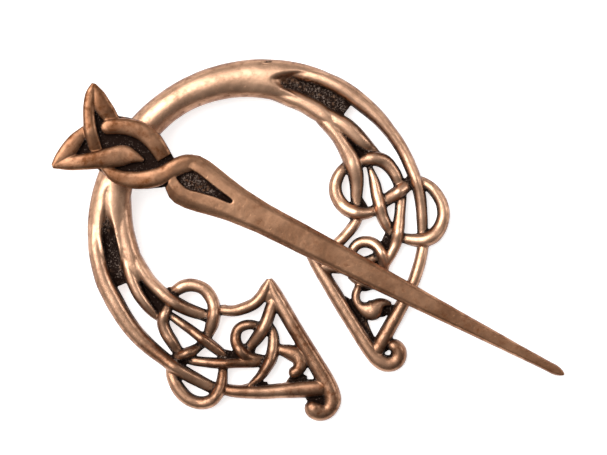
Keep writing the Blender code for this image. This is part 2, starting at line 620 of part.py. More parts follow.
def make_pin(parts, cutters):
    """The pin in one piece: plate, knot, shaft and the loop at its back."""
    radius = loop_radius()
    low = pin_underside()
    top = low + PLATE_THICKNESS
    joined = new_collection("pin solids")
    for number, (name, (widths, route)) in enumerate(KNOT_STRANDS.items()):
        path = strand_path(route, PIN_UNIT)
        floor = top - PLATE_THICKNESS * (0.4 + 0.3 * number / len(KNOT_STRANDS))
        mesh = strand_mesh(name, path, np.array(widths) * PIN_UNIT, top,
                           KNOT_HEIGHT + path[:, 2] * KNOT_RISE, floor)
        add_object(name, mesh, joined, cutter=True)
    prism("plate", PLATE_OUTLINE, PIN_UNIT, low + MERGE, top, joined)
    turned = Matrix.Rotation(-math.radians(PIN_SKEW), 4, "Z")
    loop = cylinder_mesh("loop", radius + LOOP_WALL, LOOP_LENGTH)
    loop.transform(turned)
    add_object("loop", loop, joined, cutter=True)
    bore = cylinder_mesh("bore", radius, LOOP_LENGTH + 2 * PAST)
    bore.transform(turned)
    bore_cutter = add_object("bore", bore, cutters, cutter=True)
    thick = low + SHAFT_THICKNESS
    teardrop = prism("teardrop", TEARDROP_OUTLINE, PIN_UNIT, thick - TEARDROP_DEPTH, thick + PAST,
                     cutters)
    pin = add_object("pin", shaft_mesh(low), parts)
    join_and_cut(pin, joined, [bore_cutter, teardrop])
    return pin


def place_pin(pin, root, parts):
    """Hang the pin on the ring: an empty on the hinge's axis, sloped until the shaft rests."""
    pivot, outward = loop_pivot()
    hinge = bpy.data.objects.new("pin hinge", None)
    parts.objects.link(hinge)
    hinge.parent = root
    hinge.location = pivot
    hinge.rotation_euler = (rest_slope(), 0, outward - math.pi / 2)
    pin.parent = hinge
    pin.rotation_euler.z = math.radians(PIN_SKEW)


def world_mesh(piece):
    """Vertices and triangles of a piece as it stands, in world space."""
    depsgraph = bpy.context.evaluated_depsgraph_get()
    evaluated = piece.evaluated_get(depsgraph)
    mesh = bpy.data.meshes.new_from_object(evaluated)
    mesh.transform(evaluated.matrix_world)
    mesh.calc_loop_triangles()
    points = np.empty(len(mesh.vertices) * 3)
    mesh.vertices.foreach_get("co", points)
    corners = np.empty(len(mesh.loop_triangles) * 3, dtype=int)
    mesh.loop_triangles.foreach_get("vertices", corners)
    bpy.data.meshes.remove(mesh)
    return points.reshape(-1, 3), corners.reshape(-1, 3)


def mass_centre(solids):
    """Centre of mass of solids of one metal."""
    total = 0.0
    moment = np.zeros(3)
    for points, corners in solids:
        first, second, third = (points[corners[:, side]] for side in range(3))
        volume = np.einsum("ij,ij->i", first, np.cross(second, third)) / 6
        total += volume.sum()
        moment += (volume[:, None] * (first + second + third) / 4).sum(axis=0)
    return moment / total


def lay_down(root, pieces):
    """Turn the brooch onto the three points that it rests on, centred over the origin."""
    solids = [world_mesh(piece) for piece in pieces]
    centre = mass_centre(solids)
    hull = bmesh.new()
    for points, _ in solids:
        for point in points:
            hull.verts.new(point)
    bmesh.ops.convex_hull(hull, input=hull.verts)
    hull.normal_update()
    best = None
    for face in hull.faces:
        normal = face.normal
        if normal.z > -0.5:
            continue
        point = face.verts[0].co
        height = point.z - (normal.x * (centre[0] - point.x) + normal.y * (centre[1] - point.y)) / normal.z
        if best is None or height > best[0]:
            best = (height, normal.copy())
    hull.free()
    turn = best[1].rotation_difference(Vector((0, 0, -1))).to_matrix()
    turned = np.vstack([points for points, _ in solids]) @ np.array(turn).T
    low = turned.min(axis=0)
    high = turned.max(axis=0)
    middle = Vector(((low[0] + high[0]) / 2, (low[1] + high[1]) / 2, low[2]))
    root.matrix_world = Matrix.Translation(-middle) @ turn.to_4x4()


def main():
    """Build the brooch and lay it down."""
    clear_scene()
    parts = new_collection("penannular brooch")
    cutters = new_collection("cutters")
    root = bpy.data.objects.new("brooch", None)
    parts.objects.link(root)
    hoop = make_hoop(parts, cutters)
    hoop.parent = root
    hoop.data.materials.append(copper("hoop copper", (0.50, 0.30, 0.21), 0.36))
    pin = make_pin(parts, cutters)
    place_pin(pin, root, parts)
    pin.data.materials.append(copper("pin copper", (0.42, 0.25, 0.17), 0.38))
    bpy.context.view_layer.update()
    lay_down(root, (hoop, pin))


main()
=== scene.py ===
"""Looks of the penannular brooch: two castings in aged copper, and the studio they lie in.

Both castings are drawn in plan, in millimetres, the hoop about its own centre with the crown
on +Y, and the pin about its hinge with the shaft along -Y. They are then laid where the
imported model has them, in metres.
"""

import json
import logging
import math
from dataclasses import dataclass, field
from enum import Enum
from functools import cache

import bpy
import numpy as np
from mathutils import Matrix, Vector


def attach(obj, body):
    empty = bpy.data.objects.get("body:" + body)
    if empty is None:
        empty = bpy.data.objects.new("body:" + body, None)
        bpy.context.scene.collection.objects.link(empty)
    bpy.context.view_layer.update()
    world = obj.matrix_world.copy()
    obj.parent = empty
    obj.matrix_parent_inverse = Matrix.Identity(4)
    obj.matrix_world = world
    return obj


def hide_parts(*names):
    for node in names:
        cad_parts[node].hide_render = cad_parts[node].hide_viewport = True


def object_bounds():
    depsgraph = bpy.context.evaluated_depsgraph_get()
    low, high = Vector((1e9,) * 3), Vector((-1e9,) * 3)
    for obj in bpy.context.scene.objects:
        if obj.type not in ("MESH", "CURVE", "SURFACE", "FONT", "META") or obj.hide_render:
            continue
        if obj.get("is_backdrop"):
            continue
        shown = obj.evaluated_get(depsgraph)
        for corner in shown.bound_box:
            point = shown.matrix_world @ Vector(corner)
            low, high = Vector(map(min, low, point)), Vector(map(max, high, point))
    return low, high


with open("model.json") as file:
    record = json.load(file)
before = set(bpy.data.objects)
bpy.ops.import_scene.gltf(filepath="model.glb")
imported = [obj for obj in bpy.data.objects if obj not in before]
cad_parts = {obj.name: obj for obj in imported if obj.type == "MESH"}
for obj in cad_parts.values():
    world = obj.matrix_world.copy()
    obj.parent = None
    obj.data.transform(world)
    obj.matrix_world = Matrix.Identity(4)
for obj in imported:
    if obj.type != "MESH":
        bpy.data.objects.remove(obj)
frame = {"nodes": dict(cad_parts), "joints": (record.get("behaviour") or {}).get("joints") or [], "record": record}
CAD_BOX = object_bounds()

LOG = logging.getLogger("brooch")
Array = np.ndarray
Points = tuple[tuple[float, float], ...]
Route = tuple[tuple[float, float, float, float], ...]
Noises = tuple[tuple[float, float, int], ...]
Colour = tuple[float, float, float, float]
Mesh = bpy.types.Mesh
NodeTree = bpy.types.NodeTree
Socket = bpy.types.NodeSocket

MM = 0.001

# Level of a strand where it passes over or under another, and of a sunken web
OVER = 1.0
UNDER = -1.0
WEB = -1.8

# Share of a strand's height that its sides stand upright
SIDE = 0.3

# Share of its height that a free end loses as it rounds off
END_FALL = 0.4

# What welding and smoothing take off the width of a bar, in millimetres
WELD_LOSS = 0.24

# Share of its radius up to which the ball of a free end is carried
BALL_REACH = 0.995

# Points of a curve between two knots, along a route and round a panel's outline
ROUTE_POINTS = 16
OUTLINE_POINTS = 6

# Points over the upper half of a bar's section
ARC_POINTS = 19

# Cells along each side of the lattice that noise is read from, after which it repeats
LATTICE = 32

# Places along Y for a panel that doesn't fade: beyond the brooch, in millimetres
NO_FADE = (80.0, 90.0)

# How far round a point its relief is read for its hollowness and its crest, in millimetres
HOLLOW_RADII = (0.5, 0.8, 1.2, 1.8, 2.6)
CREST_RADII = (0.7, 1.4)


class Section(Enum):
    """Cross sections of a cast bar, by the power of the superellipse that rounds them."""

    WIRE = 2.3
    PILLOW = 2.7
    PLATE = 9.0


@dataclass(frozen=True)
class Strand:
    """A bar of an interlace, by its route: rows of (x, y, level, width).

    Its ends are square and lie hidden in other bars, unless its last one is free.
    """

    name: str
    route: Route
    section: Section = Section.WIRE
    free: bool = False


def web(place: str, *rows: tuple[float, float, float], section: Section = Section.PLATE) -> Strand:
    """A sunken web between strands, by its rows of (x, y, width)."""
    return Strand("web " + place, tuple((x, y, WEB, width) for x, y, width in rows), section)


@dataclass(frozen=True)
class Recess:
    """A sunken panel: a smooth outline through its corners, its floor's height and its wall.

    The wall slopes over the given run outside the outline. Between the two places of fade
    along Y the floor rises towards the metal round it, and the wall widens inwards.

    Attributes:
        corners: Plan points that the outline passes through.
        floor: Height of its floor over the casting's underside.
        wall: Run of its wall.
        fade: Where along Y its floor starts to rise, and where it has risen.
        grime: How hollow its floor counts for the finish.
        grained: Whether the skin of its floor is grained.
    """

    corners: Points
    floor: float
    wall: float
    fade: tuple[float, float] = NO_FADE
    grime: float = 0.36
    grained: bool = True

    REACH = 3.0       # Distance from the outline up to which it is measured
    RISE = 0.8        # Share of the way to the metal that the floor comes up
    SPREAD = 1.2      # What the wall gains in run where the floor has risen
    INWARD = 0.7      # Share of the wall that lies inside the outline there

    def inside(self, plan: Array) -> Array:
        """Measure how far plan points are inside the outline.

        Args:
            plan: Plan points, one a row.

        Returns:
            Their distances to it, positive inside and held at the reach far outside.
        """
        corners = np.array(self.corners)
        outline = carry_curve(np.vstack((corners[-1:], corners, corners[:2])), OUTLINE_POINTS)
        low, high = outline.min(axis=0) - self.REACH, outline.max(axis=0) + self.REACH
        near = ((plan > low) & (plan < high)).all(axis=1)
        distance = np.full(len(plan), -self.REACH)
        distance[near] = inside_distance(plan[near], outline)
        return distance

    def risen(self, y: Array) -> Array:
        """How far the floor has risen to the metal round it, from 0 to 1, at places along Y."""
        return ease((y - self.fade[0]) / (self.fade[1] - self.fade[0]))

    def sunk(self, plan: Array, top: Array) -> Array:
        """Lower heights over plan points by the panel.

        Args:
            plan: Plan points, one a row.
            top: Heights there.

        Returns:
            The heights with the panel sunk into them.
        """
        risen = self.risen(plan[:, 1])
        floor = np.minimum(self.floor + risen * (top - self.floor) * self.RISE, top)
        run = self.wall + self.SPREAD * risen
        return top + (floor - top) * ease(self.inside(plan) / run + 1 - self.INWARD * risen)


@dataclass(frozen=True)
class PaintedFalloff:
    """Painted shade over a casting: the rubbed brightness fades along one plan direction, darkening parts as
    falling light would.

    Attributes:
        turn: Plan direction in which it fades, in degrees from +X.
        losses: Distances that way, and the share of the rubbed brightness that the painted shade takes there.
    """

    turn: float
    losses: Points

    def kept(self, points: Array) -> Array:
        """Work out how much of the rubbed brightness the painted shade leaves.

        Args:
            points: Points of the casting, one a row.

        Returns:
            The share kept at each.
        """
        turn = math.radians(self.turn)
        along = points[:, 0] * math.cos(turn) + points[:, 1] * math.sin(turn)
        return 1 - np.interp(along, *np.array(self.losses).T)


LEFT_STRANDS: tuple[Strand, ...] = (
    Strand("outer rail", (
        (-18.6, 19.2, -0.6, 1.6), (-21.3, 16.9, 0.7, 2.4), (-24.3, 13.25, 1.2, 2.6),
        (-26.05, 9.95, 1.2, 2.7), (-27.2, 6.4, 1.1, 2.9), (-27.65, 3.2, 1.0, 3.0), (-27.95, 0, 0.8, 2.85),
        (-27.95, -2.5, 0.6, 2.75), (-27.7, -5, 0.5, 2.6), (-27.1, -7.6, 0.4, 2.4), (-26.4, -10, 0.6, 2.2),
        (-25.6, -12.5, OVER, 2.2), (-24.5, -15, 0.3, 2.1), (-23.5, -17, -0.4, 2.0),
        (-22.3, -19.3, UNDER, 1.9))),
    Strand("inner rail", (
        (-13.4, 20.3, UNDER, 2.0), (-15.7, 17.9, -0.2, 3.0), (-17.5, 15.5, 0.7, 3.4),
        (-19.1, 12.7, 1.2, 3.5), (-20.2, 10, 1.2, 3.5), (-20.9, 7.8, 1.2, 3.4), (-21.4, 6.0, 1.1, 2.9),
        (-21.7, 4.7, 0.9, 2.1), (-21.9, 3.7, 0.5, 1.3), (-22.0, 2.9, -0.3, 0.6))),
    Strand("inner branch", (
        (-18.6, 13.0, 0.2, 1.2), (-19.5, 10.5, 0.6, 1.6), (-20.2, 8.0, 0.9, 2.0), (-20.6, 5.6, 1.1, 2.2),
        (-20.7, 3.8, 1.1, 2.2), (-20.65, 2.2, 1.0, 2.1), (-20.4, 0.6, 0.9, 2.1), (-19.9, -1.6, OVER, 2.1),
        (-19.2, -3.4, OVER, 2.2), (-18.4, -5, 0.3, 2.1), (-17.5, -6.4, -0.2, 2.0), (-16.4, -7.8, -0.8, 1.8),
        (-15.3, -9.0, UNDER, 1.7))),
    Strand("outer branch", (
        (-19.6, 12.6, 0.2, 1.2), (-20.7, 10.2, 0.6, 1.6), (-21.6, 8.0, 0.9, 2.0), (-22.4, 6.0, 1.1, 2.1),
        (-22.9, 4.5, 1.1, 2.1), (-23.25, 3.0, 1.0, 2.1), (-23.5, 1.3, 0.8, 2.0), (-23.5, -0.8, 0.3, 1.8),
        (-23.3, -2.6, -0.5, 1.5), (-22.9, -3.9, UNDER, 1.2))),
    Strand("middle", (
        (-21.3, -4.2, UNDER, 1.0), (-20.8, -5.6, -0.5, 1.2), (-20.2, -7.3, 0, 1.4), (-19.6, -9, 0, 1.5),
        (-18.95, -11, 0.9, 1.7), (-18.3, -13, 0.2, 1.7), (-17.7, -15, -0.4, 1.5),
        (-17.3, -16.7, UNDER, 1.3))),
    Strand("long loop", (
        (-12.3, -20.5, UNDER, 1.5), (-13.4, -19.9, -0.3, 1.7), (-14.8, -19.0, 0, 1.8),
        (-16.3, -18.0, 0.3, 1.8), (-17.9, -17.0, OVER, 1.7), (-19.6, -15.8, 0.2, 1.7),
        (-21.0, -14.6, 0, 1.6), (-22.3, -13.4, -0.6, 1.5), (-23.3, -12.0, UNDER, 1.5),
        (-23.6, -10.4, -0.8, 1.7), (-23.55, -8.6, -0.1, 1.9), (-23.45, -6.8, 0, 2.0),
        (-23.0, -5.1, 0.3, 1.9), (-22.1, -4.05, 0.7, 1.9), (-21.0, -3.4, 0.2, 1.6),
        (-19.8, -2.5, UNDER, 1.5), (-18.6, -1.8, UNDER, 1.6), (-17.4, -1.7, -0.1, 1.9),
        (-16.1, -1.9, 0, 2.1), (-14.8, -2.7, 0, 2.1), (-13.8, -4.1, 0, 2.0), (-13.6, -5.7, 0, 2.0),
        (-13.9, -7.3, 0.3, 2.0), (-14.9, -8.9, OVER, 2.1), (-16.2, -10.1, 0.4, 2.1),
        (-17.4, -10.9, -0.4, 1.7), (-18.8, -11.6, UNDER, 1.5), (-20.0, -11.9, UNDER, 1.4))),
    Strand("link", (
        (-18.9, -11.7, UNDER, 1.4), (-20.2, -11.9, -0.6, 1.4), (-21.4, -11.9, 0.6, 1.7),
        (-22.6, -11.65, OVER, 1.8), (-23.8, -11.4, 0.4, 1.5), (-25.2, -11.2, UNDER, 1.4))),
    Strand("outer loop", (
        (-26.0, -11.6, UNDER, 1.4), (-26.8, -13.0, -0.4, 1.7), (-27.2, -14.6, 0, 2.0),
        (-27.3, -16.4, 0, 2.2), (-26.9, -18.3, 0, 2.1), (-25.8, -19.9, 0, 2.1), (-24.2, -20.75, 0.5, 2.1),
        (-22.6, -20.6, OVER, 2.0), (-21.1, -19.8, 0.3, 1.9), (-19.9, -18.6, -0.4, 1.6),
        (-18.9, -17.4, UNDER, 1.4))),
    Strand("upper edge", (
        (-14.2, -8.3, UNDER, 1.5), (-12.9, -9.4, -0.1, 1.6), (-11.5, -10.4, 0.1, 1.8),
        (-9.8, -11.0, 0.2, 1.9), (-8.0, -11.3, 0.2, 1.9), (-6.3, -10.95, 0.2, 1.9), (-5.1, -10.4, 0.3, 1.8),
        (-4.15, -9.85, 0.3, 1.4), (-3.5, -9.35, 0.3, 0.7))),
    Strand("gap edge", (
        (-3.45, -9.3, 0.3, 0.7), (-3.75, -10.3, 0.3, 1.5), (-4.1, -11.8, 0.3, 2.1),
        (-4.4, -14.5, 0.3, 2.35), (-4.7, -18, 0.3, 2.4), (-5.0, -22, 0.3, 2.5), (-5.3, -26, 0.3, 2.7),
        (-5.6, -29.3, 0.3, 2.9), (-5.95, -31.4, 0.3, 2.9), (-6.7, -32.9, 0.3, 2.9), (-8.0, -33.7, 0.2, 2.6),
        (-9.2, -33.45, 0.4, 2.9), (-9.9, -32.6, 0.6, 3.2), (-9.9, -31.6, 0.7, 3.2),
        (-9.5, -30.8, 0.7, 3.0)), free=True),
    Strand("lower edge", (
        (-21.4, -19.8, UNDER, 1.5), (-20.5, -20.9, -0.3, 1.8), (-19.2, -22.1, 0.1, 2.0),
        (-17.3, -23.5, 0.2, 2.2), (-15.2, -25.0, 0.2, 2.3), (-13, -26.3, 0.2, 2.4),
        (-10.9, -27.55, 0.2, 2.7), (-9, -28.65, 0.2, 2.9), (-6.6, -30.1, 0.2, 2.9))),
    Strand("leaf", (
        (-17.2, -22.4, -0.6, 0.4), (-15.8, -22.4, -0.1, 1.1), (-14.2, -22.2, 0.3, 1.5),
        (-12.7, -21.6, 0.8, 1.8), (-11.2, -20.8, OVER, 2.0), (-9.9, -19.7, 0.2, 2.0),
        (-8.9, -18.4, -0.1, 1.8), (-8.35, -17.2, -0.7, 1.6), (-8.2, -16.0, UNDER, 1.5))),
    Strand("tail", (
        (-4.6, -12.3, -0.3, 1.6), (-5.4, -13.1, 0.1, 1.9), (-6.5, -13.9, 0.3, 2.0), (-8.0, -15.0, 0.8, 2.1),
        (-9.6, -15.9, OVER, 2.1), (-11.2, -16.5, 0.2, 2.0), (-12.7, -16.9, -0.6, 1.7),
        (-14.5, -17.2, UNDER, 1.6))),
    Strand("ring loop", (
        (-9.4, -15.6, UNDER, 1.3), (-10.0, -14.6, -0.4, 1.4), (-10.7, -13.9, 0, 1.5),
        (-11.7, -13.4, 0, 1.6), (-12.9, -13.35, 0, 1.6), (-13.9, -14.0, 0, 1.7), (-14.5, -15.0, 0.4, 1.8),
        (-14.7, -16.3, OVER, 1.9), (-14.6, -17.4, 0.8, 1.9), (-14.1, -18.5, 0, 1.8),
        (-13.2, -19.5, -0.6, 1.7), (-12.2, -20.5, UNDER, 1.6))),
    Strand("hook", (
        (-9.3, -19.7, UNDER, 1.3), (-8.7, -20.7, -0.3, 1.8), (-7.8, -21.8, -0.1, 2.5),
        (-7.1, -23.2, 0, 2.7), (-7.5, -24.5, 0.1, 2.4), (-8.7, -25.1, 0.2, 1.9),
        (-10.2, -24.8, 0.3, 2.0)), free=True),
    Strand("corner", (
        (-5.9, -12.6, -0.5, 1.2), (-5.0, -11.6, 0.0, 2.0), (-4.3, -10.8, 0.0, 1.4)), Section.PILLOW),
    web("by the gap edge", (-6.6, -21.2, 1.0), (-6.6, -23.4, 1.6), (-6.9, -25.4, 1.0)),
    web("under the hook", (-11.4, -26.0, 0.5), (-10.2, -26.0, 1.3), (-9.0, -26.5, 1.6),
        (-8.0, -27.2, 0.6), section=Section.PILLOW),
    Strand("web in the curl", (
        (-9.4, -29.2, WEB, 1.0), (-9.1, -30.2, WEB, 2.2), (-8.6, -31.2, -2.0, 2.4),
        (-8.2, -32.4, -2.2, 1.2)), Section.PILLOW),
    web("of the fork", (-21.95, 3.2, 0.8), (-21.95, 1, 1.4), (-21.7, -2, 1.9), (-21.5, -5.2, 1.4)),
    web("by the leaf", (-18.4, -22.0, 0.8), (-16.2, -23.2, 1.5), (-14.2, -24.2, 0.8)),
    web("by the tail", (-12.6, -16.9, 1.7), (-13.9, -17.9, 1.7)),
    web("by the middle", (-17.7, -15.4, 1.8), (-16.3, -17.0, 2.0), (-15.2, -18.0, 1.6)),
    web("by the upper edge", (-13.6, -8.7, 1.3), (-12.5, -9.3, 1.3)),
    web("by the inner branch", (-17.0, -7.2, 1.5), (-15.9, -8.6, 2.0)),
    web("by the link", (-24.4, -10.2, 1.6), (-23.2, -13.0, 2.2)),
    web("by the long loop", (-19.1, -0.8, 1.0), (-17.9, -1.9, 1.4)),
)

RIGHT_STRANDS: tuple[Strand, ...] = (
    Strand("outer rail", (
        (18.6, 19.2, -0.6, 1.6), (21.3, 16.9, 0.7, 2.4), (24.3, 13.25, 1.2, 2.6), (26.05, 9.95, 1.2, 2.7),
        (27.2, 6.4, 1.1, 2.7), (27.95, 3.2, 1.0, 2.4), (28.3, 0, 0.8, 2.05), (28.35, -3, 0.5, 1.95),
        (28.1, -5.5, 0.5, 1.95), (27.6, -8, 0.8, 1.95), (27.05, -10, OVER, 1.9), (26.4, -12, 0.5, 1.85),
        (25.4, -14, 0, 1.8), (24.2, -16, -0.4, 1.7), (22.9, -18.0, UNDER, 1.6))),
    Strand("inner rail", (
        (11.4, 20.4, UNDER, 1.8), (13.7, 18.7, -0.2, 2.2), (15.9, 16.7, 0.7, 2.7), (17.4, 14.6, 1.1, 3.0),
        (18.95, 12.15, 1.2, 3.0), (20.1, 9.7, 1.2, 3.2), (20.6, 8.2, 1.2, 2.9), (20.95, 6.9, 1.0, 2.5),
        (21.1, 5.9, 0.8, 1.8), (21.25, 5.2, 0.3, 1.0), (21.3, 4.7, -0.6, 0.5))),
    Strand("inner branch", (
        (19.1, 11.8, 0.0, 1.2), (19.65, 9.6, 0.5, 1.7), (20.0, 7.5, 0.9, 2.1), (20.3, 5.6, 1.1, 2.2),
        (20.4, 4.0, 1.1, 2.2), (20.35, 2.2, 1.0, 2.4), (20.15, 0, 0.9, 2.8), (19.75, -1.6, OVER, 2.8),
        (19.2, -3, 0.6, 2.6), (18.5, -4.3, 0, 2.3), (17.6, -5.6, -0.5, 2.0), (16.6, -7.0, UNDER, 1.8),
        (15.8, -8.4, UNDER, 1.6))),
    Strand("outer branch", (
        (19.5, 12.0, 0.2, 1.2), (20.5, 9.9, 0.6, 1.8), (21.25, 7.9, 0.9, 2.3), (21.9, 6.2, 1.1, 2.7),
        (22.5, 4.7, 1.1, 2.9), (22.95, 3.0, 1.0, 2.8), (23.35, 1.1, 0.7, 2.5), (23.65, -0.3, 0, 2.1),
        (23.9, -1.3, -0.8, 1.7), (24.1, -2.4, UNDER, 1.4))),
    Strand("middle", (
        (21.9, -3.2, UNDER, 0.8), (21.5, -4.8, -0.4, 1.2), (20.9, -6.5, 0, 1.8), (20.1, -8.3, 0.5, 2.0),
        (19.5, -9.9, OVER, 2.0), (18.9, -11.5, 0.4, 1.9), (18.6, -13, 0, 1.8), (18.5, -14.4, -0.7, 1.5),
        (18.4, -15.6, UNDER, 1.4))),
    Strand("long loop", (
        (12.8, -19.6, UNDER, 1.5), (14.5, -18.6, -0.2, 1.7), (16.3, -17.8, 0, 1.8), (18, -16.8, 0.3, 1.9),
        (19.3, -15.6, OVER, 1.9), (20.4, -14.4, 0.4, 1.9), (21.5, -13.1, 0, 1.7), (22.6, -11.8, -0.5, 1.7),
        (23.6, -10.5, UNDER, 1.7), (24.3, -9, -0.7, 1.8), (24.75, -7.4, -0.1, 2.0), (24.85, -5.8, 0, 2.1),
        (24.6, -4.2, 0.3, 2.3), (23.8, -3.0, 0.8, 2.3), (22.7, -2.2, OVER, 2.2), (21.5, -1.8, 0.2, 1.8),
        (20.2, -1.2, UNDER, 1.4), (18.9, -1.0, UNDER, 1.5), (17.8, -1.1, -0.3, 1.7), (16.5, -1.6, 0, 1.9),
        (15.2, -2.6, 0, 2.0), (14.4, -4, 0, 2.1), (14.2, -5.6, 0, 2.2), (14.5, -7.1, 0.5, 2.2),
        (15.4, -8.5, OVER, 2.2), (16.5, -9.4, 0.5, 2.0), (17.8, -9.9, -0.3, 1.7), (19.2, -9.95, UNDER, 1.6),
        (20.3, -9.9, UNDER, 1.6))),
    Strand("link", (
        (19.3, -9.9, UNDER, 1.7), (20.8, -9.75, -0.4, 1.9), (22.2, -9.75, 0.5, 2.1),
        (23.6, -9.8, OVER, 2.2), (25, -9.7, 0.2, 2.1), (26.3, -9.5, UNDER, 1.9), (27.2, -9.3, UNDER, 1.8))),
    Strand("outer loop", (
        (26.9, -9.6, UNDER, 1.6), (27.9, -10.8, -0.7, 1.6), (28.6, -12.4, -0.1, 1.7),
        (28.75, -14.2, 0, 1.8), (28.4, -16.1, 0, 1.9), (27.4, -17.8, 0, 2.0), (25.8, -19.0, 0.2, 2.2),
        (24.1, -19.5, 0.8, 2.4), (22.5, -19.2, 0.8, 2.3), (21.0, -18.2, 0, 2.0), (19.9, -17.1, -0.8, 1.6),
        (19.2, -16.2, UNDER, 1.4))),
    Strand("upper edge", (
        (15.8, -8.9, UNDER, 1.5), (14.7, -9.7, -0.2, 1.6), (13.2, -10.3, 0.1, 1.7), (11.2, -10.8, 0.2, 1.7),
        (9.2, -11.1, 0.2, 1.8), (7.2, -11.0, 0.2, 1.8), (5.8, -10.5, 0.2, 1.8), (4.6, -9.9, 0.3, 1.8))),
    Strand("gap edge", (
        (4.9, -9.9, 0.3, 1.6), (4.75, -12, 0.3, 2.0), (4.6, -14.5, 0.3, 2.2), (4.35, -18, 0.3, 2.25),
        (4.05, -22, 0.3, 2.25), (3.85, -26, 0.3, 2.3), (3.75, -29, 0.3, 2.4), (3.95, -31.4, 0.3, 2.6),
        (4.8, -33.0, 0.2, 2.7), (6.2, -33.55, 0.2, 2.7), (7.35, -33.0, 0.3, 2.6), (7.8, -31.95, 0.4, 2.5),
        (7.35, -31.1, 0.4, 2.3), (6.5, -30.8, 0.3, 2.0)), free=True),
    Strand("lower edge", (
        (22.7, -18.8, UNDER, 1.6), (21.5, -20.1, -0.3, 1.7), (19.9, -21.6, 0.1, 1.9),
        (18.3, -22.9, 0.2, 1.9), (16.6, -24.1, 0.2, 1.9), (14.4, -25.4, 0.2, 2.0), (12.0, -26.6, 0.2, 2.2),
        (9.3, -27.9, 0.2, 2.3), (6.8, -29.1, 0.2, 2.4), (4.6, -30.2, 0.2, 2.4))),
    Strand("leaf", (
        (15.2, -22.5, -0.6, 0.5), (13.8, -22.1, 0.2, 1.2), (12.4, -21.3, 0.8, 1.7),
        (11.0, -20.4, OVER, 1.9), (9.8, -19.3, 0, 1.8), (9.0, -18.0, -0.4, 1.7), (8.6, -16.7, UNDER, 1.5))),
    Strand("tail", (
        (5.3, -12.6, 0.2, 1.9), (6.7, -13.9, 0.3, 2.0), (8.2, -15.0, 0.7, 2.0), (9.9, -15.9, OVER, 2.0),
        (11.5, -16.4, 0.1, 1.9), (12.9, -16.7, -0.7, 1.6), (14.6, -16.9, UNDER, 1.5))),
    Strand("ring loop", (
        (9.6, -15.7, UNDER, 1.5), (10.3, -14.4, -0.3, 1.6), (11.2, -13.5, 0, 1.6), (12.3, -13.15, 0, 1.7),
        (13.5, -13.4, 0, 1.8), (14.5, -14.2, 0.2, 1.9), (15.05, -15.5, 0.7, 1.9), (14.95, -17, OVER, 1.9),
        (14.4, -18.4, 0.2, 1.8), (13.5, -19.5, -0.6, 1.6), (12.4, -20.4, UNDER, 1.5))),
    Strand("hook and boss", (
        (9.3, -18.6, UNDER, 1.2), (8.3, -19.4, -0.3, 1.2), (7.3, -20.1, 0, 1.3), (6.7, -21.1, 0, 1.3),
        (6.7, -22.2, 0.1, 1.6), (7.2, -23.2, 0.3, 2.6), (8.0, -23.95, 0.6, 3.4), (8.9, -23.95, 0.4, 2.9),
        (9.9, -23.9, 0, 1.9), (10.7, -24.3, -0.3, 1.1), (11.3, -25.0, -0.8, 0.5))),
    Strand("corner", (
        (6.3, -12.0, -0.3, 1.5), (4.9, -12.0, 0.1, 1.8)), Section.PILLOW),
    web("by the gap edge", (5.3, -19.4, 0.5), (5.6, -21.5, 1.4), (5.6, -24.0, 1.5), (5.3, -26.5, 1.0),
        (5.0, -29.0, 0.9), section=Section.PILLOW),
    web("under the boss", (8.4, -25.0, 1.0), (9.3, -25.2, 1.6), (10.4, -25.3, 1.2),
        (11.8, -25.9, 0.4), section=Section.PILLOW),
    web("by the leaf", (8.2, -18.9, 1.2), (9.3, -19.8, 1.6), (10.3, -20.4, 1.2)),
    web("over the curl", (4.6, -30.6, 1.2), (6.5, -30.4, 1.5), (8.2, -30.4, 1.3)),
    web("of the fork", (21.1, 4.9, 0.9), (21.6, 2, 1.4), (21.9, -1, 1.6), (21.6, -3, 1.4)),
    web("by the tail", (12.7, -16.6, 1.8), (14.2, -17.6, 1.8)),
    web("by the middle", (18.4, -15.0, 1.8), (16.9, -16.0, 2.0), (16.0, -17.2, 1.6)),
    web("by the upper edge", (15.2, -9.1, 1.4), (14.0, -9.3, 1.4)),
    web("by the inner branch", (16.9, -6.6, 1.8), (16.6, -8.4, 2.2)),
)

